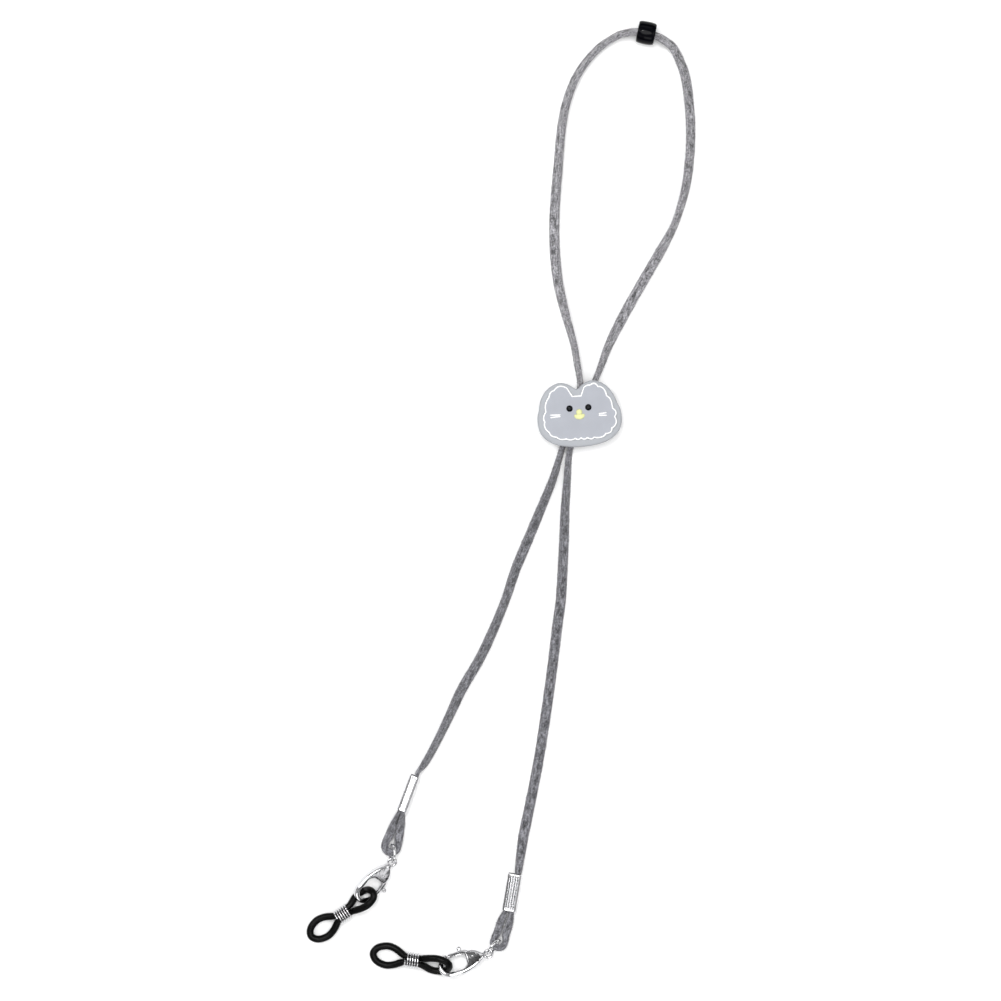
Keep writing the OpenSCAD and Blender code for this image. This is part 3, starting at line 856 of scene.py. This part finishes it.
def face_place():
    return Matrix.Rotation(math.radians(FACE_TILT), 4, "Z") @ Matrix.Translation(
        Vector((FACE_SHIFT[0], FACE_SHIFT[1], 0)) * MM
    )


def polar_slab(name, reach, levels, steps=360):
    """A slab with an outline in polar form; levels are (inset, height), from the bottom edge up."""
    place = face_place()
    rings = []
    for inset, z in levels:
        ring = []
        for i in range(steps):
            a = 360 * i / steps
            r = reach(a) - inset
            ring.append(
                place @ (Vector((r * cosd(a), r * sind(a), z)) * MM)
            )
        rings.append(ring)
    return rings_mesh(name, rings)


def rounded_levels(low, high, edge, steps=5):
    """Insets and heights of a slab whose top edge is rounded and whose bottom edge is eased."""
    levels = [(edge * 3, low), (0.25 * edge, low), (0, low + 0.25 * edge)]
    for i in range(steps + 1):
        a = math.radians(90 * i / steps)
        levels.append((edge * (1 - math.cos(a)), high - edge + edge * math.sin(a)))
    return levels + [(edge * 3, high)]


def bar_between(name, a, b, z, half, high):
    """A low rounded bar between two points, in millimetres of the face."""
    a, b = Vector((*a, 0)), Vector((*b, 0))
    along = (b - a).normalized()
    across = Vector((-along.y, along.x, 0))
    rings = []
    for i in range(17):
        t = i / 16
        ends = math.sqrt(max(0.0, 1 - max(0, (abs(t - 0.5) * 2 - 0.82) / 0.18) ** 2))
        middle = a.lerp(b, t)
        w = max(0.02, half * ends)
        h = high * max(0.05, ends)
        ring = [middle + across * w * cosd(d) + Vector((0, 0, z + h * sind(d))) for d in range(0, 181, 20)]
        rings.append([face_place() @ (p * MM) for p in ring])
    return rings_mesh(name, rings)


def pillow(name, outline, z, high):
    """A low dome on an outline about its middle, in millimetres of the face."""
    middle = Vector((sum(p[0] for p in outline) / len(outline), sum(p[1] for p in outline) / len(outline)))
    rings = []
    for i in range(9):
        a = math.radians(90 * i / 8)
        shrink = max(0.02, math.cos(a) ** 0.7) if i else 1
        ring = [middle + (Vector(p) - middle) * shrink for p in outline]
        rings.append([face_place() @ (Vector((*p, z + high * math.sin(a))) * MM) for p in ring])
    return rings_mesh(name, rings)


class STRAP_OT_keeper(bpy.types.Operator):
    """Build the sliding keeper: its two-channel guide, face plate, outline and features"""

    bl_idname = "strap.keeper"
    bl_label = "Keeper"

    def execute(self, context):
        shades_of = colours()
        vinyl = soft_vinyl("Soft vinyl, pale grey", shades_of.keeper)
        field = soft_vinyl("Soft vinyl, grey", shades_of.panel)
        white = soft_vinyl("Soft vinyl, white", shades_of.white, 0.01 * MM)
        yellow = soft_vinyl("Soft vinyl, pale yellow", shades_of.yellow)
        black = glossy_bead("Soft vinyl, glossy black", shades_of.eye)
        base = GUIDE_HEIGHT
        top = base + FACE_T
        raised = top + PANEL_T

        self.guide(vinyl)
        slab = polar_slab("face_plate", face_reach, rounded_levels(base, top, 0.5))
        piece("face_plate_vinyl", slab, vinyl, "keeper_back", "slider", "face_plate")
        half = sizes().outline_width / MM / 2
        slab = polar_slab(
            "face_panel", lambda a: fur_reach(a, FUR_INSET + half), rounded_levels(top, raised, 0.15)
        )
        piece("face_panel_vinyl", slab, field, "keeper_panel", "slider", "face_panel")
        self.outline(white, top, half)

        eyes = []
        for x in (-EYE_X, EYE_X):
            eyes.append(pillow("eye", arc((x, EYE_Y), EYE_R, 0, 350, 35), raised, 0.4))
        piece("eyes_vinyl", merged("eyes", eyes), black, "keeper_black", "slider", "eyes")
        mouth = arc((0, MOUTH_Y), 1.5, 187, 353, 24) + arc((1.15, 1.15), 0.33, 0, 90, 5)
        mouth += arc((-1.15, 1.15), 0.33, 90, 180, 5)
        mouth = [(x, MOUTH_Y + (y - MOUTH_Y) * MOUTH_FLAT) for x, y in mouth]
        nose = pillow("nose", arc((0, NOSE_Y), NOSE_R, 0, 350, 35), raised, 0.38)
        parts = [nose, pillow("mouth", mouth, raised, 0.34)]
        piece("nose_mouth_vinyl", merged("nose_mouth", parts), yellow, "keeper_yellow", "slider", "nose_mouth")
        bars = []
        for x, y, run, lean in WHISKERS:
            reach = Matrix.Rotation(math.radians(lean), 2) @ Vector((run / 2, 0))
            ends = Vector((x, y)) - reach, Vector((x, y)) + reach
            bars.append(bar_between("whisker", *ends, raised - 0.05, 0.19, 0.3))
        piece("whiskers_vinyl", merged("whiskers", bars), white, "keeper_white", "slider", "whiskers")
        return {"FINISHED"}

    def guide(self, material):
        """The block behind the face, with a channel for each stretch of the lace."""
        width, corner = 5.7, 0.7
        outer = []
        for x, y, start in CORNERS:
            centre = (x * (width / 2 - corner), y * (GUIDE_HEIGHT / 2 - corner))
            outer += arc(centre, corner, start, start + 90, 6)
        lanes = []
        for s in (-1, 1):
            lane = []
            for x, y, start in CORNERS:
                lane += arc((s * GUIDE_GAP + x * 0.65, 0.05 + y * 1.4), 0.3, start, start + 90, 4)
            lanes.append(lane)
        turn = Matrix.Rotation(math.radians(GUIDE_TURN), 4, "Z")
        place = turn @ Matrix.Translation((0, 0, GUIDE_HEIGHT / 2 * MM)) @ Matrix.Rotation(math.pi / 2, 4, "X")
        block = cast_plate("cord_guide", [outer, *lanes], GUIDE_LENGTH * MM, 0.15 * MM, place)
        piece("cord_guide_vinyl", block, material, "keeper_back", "slider", "cord_guide")

    def outline(self, material, top, half):
        """The raised white outline, a rounded bead that follows the tufts and swells a little."""
        line = []
        for i in range(720):
            a = i / 2
            r = fur_reach(a, FUR_INSET + half)
            line.append(Vector((r * cosd(a), r * sind(a), top + 0.3)))
        rings = []
        for p, along in zip(line, headings(line, closed=True)):
            across = Vector((along.y, -along.x, 0))
            wide = half * (1 + 0.25 * noise.noise(p * 1.1))
            ring = []
            for d in range(0, 360, 30):
                c, s = cosd(d), sind(d)
                ring.append(face_place() @ ((p + across * wide * c + Vector((0, 0, 0.28 * s))) * MM))
            rings.append(ring)
        piece(
            "face_outline_vinyl", rings_mesh("face_outline", rings, closed=True), material,
            "keeper_white", "slider", "face_outline",
        )


# ---------------------------------------------------------------- bead and ferrules


class STRAP_OT_bead(bpy.types.Operator):
    """Build the stopper bead on the neck stretch"""

    bl_idname = "strap.bead"
    bl_label = "Stopper bead"

    def execute(self, context):
        turn = math.radians(BEAD_ANGLE)
        middle = Vector(BEAD_ARC) + Vector((math.cos(turn), math.sin(turn), 0)) * BEAD_REACH * MM
        place = Matrix.Translation(middle) @ Matrix.Rotation(turn, 4, "Z") @ Matrix.Rotation(math.pi / 2, 4, "X")
        outer, bore, half = 3.2, 2.0, 2.5
        profile = [(bore, half - 0.5), (bore + 0.15, half - 0.15)] + [(bore + 0.45, half)]
        profile += [(r, half * math.copysign(abs(t) ** 0.8, t)) for r, t in self.barrel(outer, bore + 0.45)]
        profile += [(bore + 0.45, -half), (bore + 0.15, 0.15 - half), (bore, 0.5 - half)]
        mesh = lathe("stopper_bead", profile, place, 96)
        piece(
            "stopper_bead_acrylic", mesh, glossy_bead("Acrylic, gloss black", colours().bead),
            "bead_plastic", "bead", "stopper_bead",
        )
        return {"FINISHED"}

    def barrel(self, outer, mouth):
        """The bead's rounded side, as radius and share of its half length."""
        turns = [math.radians(90 - 180 * i / 24) for i in range(1, 24)]
        return [(mouth + (outer - mouth) * math.cos(t) ** 0.6, math.sin(t)) for t in turns]


class STRAP_OT_ferrules(bpy.types.Operator):
    """Build the crimped ferrules, with the lengthwise ridges and nicks of the crimping tool"""

    bl_idname = "strap.ferrules"
    bl_label = "Ferrules"

    def execute(self, context):
        plate = nickel_plate("Nickel-plated brass strip", colours().plating, 0.002 * MM)
        for side in SIDES:
            place = ferrule_place(side) @ Matrix.Rotation(math.radians(FERRULES[side][1]), 4, "Y")
            piece("ferrule_" + side + "_strip", self.sleeve(place), plate, "bright_plate", "lace", "ferrule_" + side)
        return {"FINISHED"}

    def sleeve(self, place):
        width, height, run = FERRULE_SIZE
        corner = 0.85

        def section(inset, y, pressed):
            """One ring of the sleeve: a rounded oblong, pressed in along lines on each face."""

            def dented(x, lines):
                return pressed * sum(
                    math.exp(-(((x - c) / 0.16) ** 2)) * (0.98 + 0.02 * math.cos(6.6 * y + 9 * c)) for c in lines
                )

            points = []
            for sx, sy, start in CORNERS:
                far_x, far_y = width / 2 - corner, height / 2 - corner
                points += arc((sx * far_x, sy * far_y), corner - inset, start, start + 90, 8)
                for k in range(1, 27):
                    t = 1 - 2 * k / 27
                    if start in (0, 180):
                        x = far_x * t * sy
                        points.append((x, sy * (height / 2 - inset - dented(x, (-1.05, -0.35, 0.35, 1.05)))))
                    else:
                        z = far_y * t * -sx
                        points.append((sx * (width / 2 - inset - dented(z, (-0.36, 0.36))), z))
            return [place @ (Vector((x, y, z)) * MM) for x, z in points]

        outer = []
        for k in range(85):
            t = -1 + 2 * k / 84
            y = run / 2 * t
            lip = 0.16 * max(0, (abs(t) - 0.965) / 0.035) ** 2
            inside = 1 if abs(t) < 0.86 else max(0, 1 - (abs(t) - 0.86) / 0.06)
            outer.append(section(lip, y, 0.24 * inside))
        inner = [section(0.36, run / 2 * t, 0) for t in (1, 0.98, 0, -0.98, -1)]
        return rings_mesh("ferrule", outer + inner, closed=True)


# ---------------------------------------------------------------- rings, clasps and temple loops


def ring_place(side):
    """Matrix of a jump ring: its middle, with X towards the clasp's eyelet and Z along its axis."""
    middle = middle_of("jump_ring_" + side)
    towards = pivot("clasp_swing_" + side) - middle
    turn = math.atan2(towards.y, towards.x)
    lean = math.radians(72 * SIDES[side])
    return Matrix.Translation(middle) @ Matrix.Rotation(turn, 4, "Z") @ Matrix.Rotation(lean, 4, "X")


def clasp_place(side):
    """Matrix of a clasp: its eyelet, with X along it and Z through the lever's pin, mirrored on the right."""
    eyelet = pivot("clasp_swing_" + side)
    along = (pivot("rubber_swing_" + side) - eyelet).normalized()
    through = Vector(JOINTS["lever_" + side]["axis"]) * SIDES[side]
    across = through.cross(along) * SIDES[side]
    place = Matrix((along, across, through)).transposed().to_4x4()
    place.translation = eyelet
    return place


# Where the rubber's hooked tip lies in the clasp, and its way over and under the hook, in millimetres
HOOKED = {
    "left": (
        (8.8, 2.1),
        [(8, -1.15, 1.8), (6.2, -1.9, 1.25), (4.4, -2.1, 1.02), (2.7, -1.8, 1.3), (1.6, -1.3, 2.8),
         (1.1, -0.2, 4.1), (1.6, 0.8, 4.5), (2.8, 1.4, 4.5), (4.4, 1.7, 4.4), (6.2, 1.55, 3.8), (8, 1.1, 2.9)],
    ),
    "right": (
        (10.6, -0.5),
        [(8, -1.15, 1.8), (6.2, -1.9, 1.25), (4.4, -2.1, 1.04), (2.6, -1.9, 1.08), (1.4, -1.2, 1.5),
         (1, 0, 2.8), (1.5, 0.9, 3.9), (2.6, 1.5, 4.5), (4.4, 1.8, 4.5), (6.2, 1.6, 3.9), (8, 1.1, 2.9)],
    ),
}
TEMPLE = [(14.6, 1.25, 1.7), (16.4, 2.2, 1.2), (18.5, 2.7, 1.02), (20.6, 2.3, 1.02), (22, 1.35, 1.02)]
RUBBER_LENGTH, COIL_START, COIL_PITCH, COIL_INNER = 23.6, 9.6, 0.7, 1.76
COIL_Z = COIL_INNER + 0.45 + 0.02
# Where the rubber is split inside the coil, and the share of its width left at the end of the slide
RUBBER_SPLIT, SQUEEZED = 13.2, 0.6


def rubber_place(side):
    """Matrix of a temple loop: its hooked tip on the table, with X along it, mirrored on the right."""
    along = Vector(JOINTS["coil_slide_" + side]["axis"])
    clasp = pivot("rubber_swing_" + side) - pivot("clasp_swing_" + side)
    clasp.normalize()
    across = Vector((-clasp.y, clasp.x, 0)) * SIDES[side]
    (x, y), route = HOOKED[side]
    tip = pivot("clasp_swing_" + side) + (clasp * x + across * y) * MM
    tip.z = 0
    aside = Vector((-along.y, along.x, 0)) * SIDES[side]
    place = Matrix((along, aside, Vector((0, 0, 1)))).transposed().to_4x4()
    place.translation = tip
    return place


# Sections of the clasp's pin and knob as radius and height, and where they stand in the clasp
PIN_PROFILE = (
    (0.001, 1.02), (0.2, 1.0), (0.36, 0.92), (0.4, 0.8), (0.4, -0.8), (0.36, -0.92), (0.2, -1.0), (0.001, -1.02),
)
KNOB_PROFILE = (
    (0.001, 0.72), (0.3, 0.66), (0.55, 0.45), (0.68, 0.12), (0.62, -0.25),
    (0.48, -0.5), (0.42, -0.8), (0.5, -1.2), (0.001, -1.25),
)
LEVER_PIN, KNOB_AT = (4.4, 0.6), (7.6, 4.1)
# The hook's bend: its middle, and its outer and inner radius
HOOK_AT, HOOK_OUTER, HOOK_INNER = (11, 0), 3.5, 2.1


class STRAP_OT_rings(bpy.types.Operator):
    """Build the jump rings, each with the fine slit where its wire meets"""

    bl_idname = "strap.rings"
    bl_label = "Jump rings"

    def execute(self, context):
        plate = nickel_plate("Nickel-plated steel wire", colours().plating, 0.004 * MM)
        wire, reach = sizes().ring_wire / 2, sizes().ring_radius
        for side in SIDES:
            place = ring_place(side)
            rings = []
            for i in range(97):
                # The slit faces away from the clasp and the lace
                a = math.radians(100 + 1.2 + (360 - 2.4) * i / 96)
                middle = Vector((math.cos(a), math.sin(a), 0))
                pinch = 0.9 if i in (0, 96) else 1
                ring = []
                for k in range(20):
                    b = 2 * math.pi * k / 20
                    lift = Vector((0, 0, wire * pinch * math.sin(b)))
                    ring.append(place @ (middle * (reach + wire * pinch * math.cos(b)) + lift))
                rings.append(ring)
            piece("jump_ring_" + side + "_wire", rings_mesh("jump_ring", rings), plate, "bright_plate",
                  "ring_" + side, "jump_ring_" + side)
        return {"FINISHED"}


class STRAP_OT_clasps(bpy.types.Operator):
    """Build the lobster clasps: cast hook, sprung lever with its knob, and pin"""

    bl_idname = "strap.clasps"
    bl_label = "Lobster clasps"

    def execute(self, context):
        cast = nickel_plate("Nickel-plated zinc casting", colours().plating, 0.035 * MM)
        for side in SIDES:
            place = clasp_place(side)
            piece("clasp_body_" + side + "_cast", self.hook(place), cast, "bright_plate", "clasp_" + side,
                  "clasp_body_" + side)
            piece("clasp_lever_" + side + "_cast", self.lever(place), cast, "bright_plate", "lever_" + side,
                  "clasp_lever_" + side)
            at_pin = place @ Matrix.Translation(Vector((*LEVER_PIN, 0)) * MM)
            piece("clasp_pin_" + side + "_steel", lathe("pin", PIN_PROFILE, at_pin, 32),
                  cast, "bright_plate", "clasp_" + side, "clasp_pin_" + side)
            spring = frame["nodes"]["clasp_spring_" + side]
            spring.data.materials.clear()
            spring.data.materials.append(nickel_plate("Spring steel strip", colours().plating))
        return {"FINISHED"}

    def hook(self, place):
        """The teardrop casting: eyelet, slotted shoulder and curved hook."""
        outer = [(1.2, -0.62), (1.9, -1.05), (2.7, -1.7), (3.7, -2.3), (5.0, -2.82), (6.4, -3.22), (7.6, -3.44)]
        outer += [(8.4, -3.5), (9.7, -HOOK_OUTER)] + arc(HOOK_AT, HOOK_OUTER, -90, 80, 22)
        nose = [(11.42, 3.2), (11.35, 2.75), (11.4, 2.3)]
        inner = arc(HOOK_AT, HOOK_INNER, 74, -90, 20) + [(9.7, -HOOK_INNER)]
        inner += arc((8.3, 0), HOOK_INNER, -90, -152, 8)
        shoulder = [(6.4, 0.2), (6.42, 1.5), (6.3, 2.15), (5.8, 2.6), (5.1, 2.68), (4.1, 2.52), (3.1, 2.1)]
        shoulder += [(2.2, 1.4), (1.6, 0.85), (1.2, 0.62)]
        thick = sizes().clasp_thickness
        body = cast_plate("hook", [outer + nose + inner + shoulder], thick, 0.62 * MM, place)
        slot = [(3.05, 0.6), (3.05, 4), (7.6, 4), (7.6, 1.2), (6.6, -0.9), (5.4, -1.1), (4.4, -0.7), (3.5, -0.35)]
        rings = [[place @ (Vector((x, y, z)) * MM) for x, y in slot] for z in (-0.55, 0.55)]
        body = cut(body, rings_mesh("slot", rings))
        thin = 0.8 * MM
        ring = [arc((0, 0), 1.5, 0, 354, 59), arc((0, 0), 0.85, 0, 350, 35)]
        eyelet = cast_plate("eyelet", ring, thin, 0.28 * MM, place)
        bridge = [(0.95, -0.62), (2.6, -1.3), (2.6, 1.3), (0.95, 0.62)]
        neck = cast_plate("neck", [bridge], thin, 0.2 * MM, place)
        return merged("clasp_body", [body, eyelet, neck])

    def lever(self, place):
        """The sprung gate, with the thumb knob standing off it."""
        outline = arc(LEVER_PIN, 1.15, 95, 330, 16)
        outline += [(5.6, 0.5), (6.3, 1.5), (7.0, 1.95), (7.8, 2.1), (11.15, 2.2)]
        outline += [(11.2, 2.6), (11.15, 3.05), (10.8, 3.28), (6.8, 3.32), (5.9, 3.15), (5.1, 2.75), (4.6, 2.1)]
        gate = cast_plate("gate", [outline], 1.0 * MM, 0.3 * MM, place)
        up = place @ Matrix.Translation(Vector((*KNOB_AT, 0)) * MM) @ Matrix.Rotation(-math.pi / 2, 4, "X")
        return merged("clasp_lever", [gate, lathe("knob", KNOB_PROFILE, up, 32)])


class STRAP_OT_temple_loops(bpy.types.Operator):
    """Build the rubber temple loops and the wire coils that tighten them"""

    bl_idname = "strap.temple_loops"
    bl_label = "Temple loops"

    def execute(self, context):
        black = black_rubber("Rubber cord, waxed black", colours().rubber)
        plate = nickel_plate("Nickel-plated spring wire", colours().plating)
        thick = sizes().rubber_diameter / MM / 2
        for side in SIDES:
            place = rubber_place(side)
            rows = self.route(side, thick)
            points = [Vector(row[:3]) for row in rows]
            rings = []
            for p, row, way in zip(points, rows, headings(points, closed=True)):
                aside = way.cross(Vector((0, 0, 1))).normalized()
                up = aside.cross(way)
                ring = []
                for k in range(24):
                    b = 2 * math.pi * k / 24
                    ring.append(place @ ((p + (aside * math.cos(b) + up * math.sin(b)) * row[3]) * MM))
                rings.append(ring)
            # The rubber is split near the coil's far end into its hooked part and the part beyond
            beyond = [i for i, row in enumerate(rows) if row[0] > RUBBER_SPLIT]
            first, last = beyond[0], beyond[-1]
            hooked = rings_mesh("rubber_hooked", rings[last:] + rings[: first + 1])
            temple = rings_mesh("rubber_temple", rings[first : last + 1])
            rides = black, "rubber", "rubber_" + side, "rubber_loop_" + side
            piece("rubber_hooked_" + side + "_cord", hooked, *rides)
            gripping = piece("rubber_temple_" + side + "_cord", temple, *rides)
            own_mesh(gripping)
            coil = self.coil(place, plate)
            piece("loop_coil_" + side + "_wire", coil, None, "bright_plate", "coil_" + side, "loop_coil_" + side)
        return {"FINISHED"}

    def route(self, side, thick):
        """Closed route of the rubber: x, y, z and radius."""
        rows = [(*p, thick) for p in HOOKED[side][1]]
        rows += [(x, 0.86, COIL_Z, 0.84) for x in (9.4, 11.5, 13.6)]
        rows += [(*p, thick) for p in TEMPLE] + [(RUBBER_LENGTH - thick, 0, 1.02, thick)]
        rows += [(x, -y, z, thick) for x, y, z in TEMPLE[::-1]]
        rows += [(x, -0.86, COIL_Z, 0.84) for x in (13.6, 11.5, 9.4)]
        return smoothed([list(map(float, row)) for row in rows], 8, closed=True)

    def coil(self, place, plate):
        small = sizes()
        tree = bpy.data.node_groups.get("Wire coil") or coil_tree()
        values = {
            "Turns": small.coil_turns,
            "Length": small.coil_turns * COIL_PITCH * MM,
            "Radius": COIL_INNER * MM + small.coil_wire / 2,
            "Wire": small.coil_wire,
            "Material": plate,
        }
        mesh = grown(bpy.data.meshes.new("coil"), tree, values)
        start = place @ Matrix.Translation(Vector((COIL_START, 0, COIL_Z)) * MM)
        mesh.transform(start @ Matrix.Rotation(math.pi / 2, 4, "Y"))
        return outward(mesh)


# ---------------------------------------------------------------- stage


class STRAP_OT_stage(bpy.types.Operator):
    """Set the camera, the soft lights and the pale floor"""

    bl_idname = "strap.stage"
    bl_label = "Stage"

    def execute(self, context):
        scene = context.scene
        lens, view = 120, 280.28 * MM
        camera = bpy.data.cameras.new("Camera")
        camera.lens = lens
        camera.sensor_width = 36
        camera.clip_end = 20
        stand = link(bpy.data.objects.new("Camera", camera))
        stand.location = (-21.28 * MM, -23.94 * MM, view * lens / 36 + 2 * MM)
        scene.camera = stand
        scene.view_settings.view_transform = "Standard"

        lights = [
            ("Softbox top", (-0.05, 0.05, 1.25), 0.7, 9.6),
            ("Softbox left", (-0.7, 0.35, 0.8), 0.4, 3.4),
            ("Softbox right", (0.7, 0.0, 0.8), 0.4, 1.8),
            ("Softbox front", (0.0, -0.9, 0.6), 0.4, 1.4),
            # A small lamp for the sharp highlights on the bead and the rubber
            ("Lamp", (-0.12, 0.3, 1.1), 0.05, 1.2),
        ]
        for name, spot, size, power in lights:
            lamp = bpy.data.lights.new(name, "AREA")
            lamp.shape = "SQUARE"
            lamp.size = size
            lamp.energy = power
            holder = link(bpy.data.objects.new(name, lamp))
            holder.location = spot
            holder.rotation_euler = (Vector((0, -0.02, 0)) - Vector(spot)).to_track_quat("-Z", "Y").to_euler()
        self.sky(scene)

        # The paper lies just under the strap, and reaches far past the view
        reach, under = 3, -0.02 * MM
        corners = [(x * reach, y * reach, under) for x, y, start in CORNERS[2:] + CORNERS[:2]]
        floor = link(bpy.data.objects.new("Floor", mesh_from("Floor", corners, [(0, 1, 2, 3)])))
        floor.data.materials.append(paper("White background paper", colours().floor))
        return {"FINISHED"}

    def sky(self, scene):
        """A pale studio with a darker band round it, which gives the plating its dark streaks."""
        world = bpy.data.worlds.new("Studio")
        world.use_nodes = True
        tree = world.node_tree
        tree.nodes.clear()
        way = add(tree, "ShaderNodeTexCoord").outputs["Generated"]
        height = add(tree, "ShaderNodeSeparateXYZ", inputs={"Vector": way}).outputs["Z"]
        tone = add(
            tree, "ShaderNodeValToRGB", inputs={"Fac": height},
            stops=[
                (0.0, (0.25, 0.25, 0.25)), (0.06, (0.01, 0.01, 0.01)), (0.4, (0.02, 0.02, 0.02)),
                (0.48, (0.8, 0.8, 0.81)), (0.66, (0.9, 0.9, 0.9)), (0.74, (0.25, 0.25, 0.25)),
                (1.0, (0.6, 0.6, 0.6)),
            ],
        ).outputs["Color"]
        # Dark cards stand here and there round the studio
        cards = add(
            tree, "ShaderNodeTexNoise", inputs={"Vector": way, "Scale": 2.6, "Detail": 1.0, "Roughness": 0.5}
        )
        shade = add(
            tree, "ShaderNodeMapRange",
            inputs={"Value": cards.outputs["Fac"], "From Min": 0.44, "From Max": 0.5, "To Min": 0.12, "To Max": 1.0},
        )
        tone = add(
            tree, "ShaderNodeVectorMath", {"operation": "SCALE"}, {0: tone, "Scale": shade.outputs["Result"]}
        ).outputs["Vector"]
        glow = add(tree, "ShaderNodeBackground", inputs={"Color": tone, "Strength": 1.3})
        add(tree, "ShaderNodeOutputWorld", inputs={"Surface": glow.outputs["Background"]})
        scene.world = world


# ---------------------------------------------------------------- panel and running


class STRAP_PT_panel(bpy.types.Panel):
    bl_label = "Eyeglass strap"
    bl_idname = "STRAP_PT_panel"
    bl_space_type = "VIEW_3D"
    bl_region_type = "UI"
    bl_category = "Strap"

    def draw(self, context):
        layout = self.layout
        for group in (context.scene.strap_sizes, context.scene.strap_colours):
            box = layout.box()
            for name in group.bl_rna.properties.keys():
                if name not in ("rna_type", "name"):
                    box.prop(group, name)
        for operator in OPERATORS:
            layout.operator(operator.bl_idname)


OPERATORS = (
    STRAP_OT_stage,
    STRAP_OT_lace,
    STRAP_OT_keeper,
    STRAP_OT_bead,
    STRAP_OT_ferrules,
    STRAP_OT_rings,
    STRAP_OT_clasps,
    STRAP_OT_temple_loops,
)
CLASSES = (StrapSizes, StrapColours, *OPERATORS, STRAP_PT_panel)


def register():
    for cls in CLASSES:
        bpy.utils.register_class(cls)
    bpy.types.Scene.strap_sizes = PointerProperty(type=StrapSizes)
    bpy.types.Scene.strap_colours = PointerProperty(type=StrapColours)


def unregister():
    del bpy.types.Scene.strap_sizes
    del bpy.types.Scene.strap_colours
    for cls in reversed(CLASSES):
        bpy.utils.unregister_class(cls)


def main():
    register()
    for step in ("stage", "ferrules", "lace", "keeper", "bead", "rings", "clasps", "temple_loops"):
        getattr(bpy.ops.strap, step)()
    bpy.context.view_layer.update()


if __name__ == "__main__":
    main()
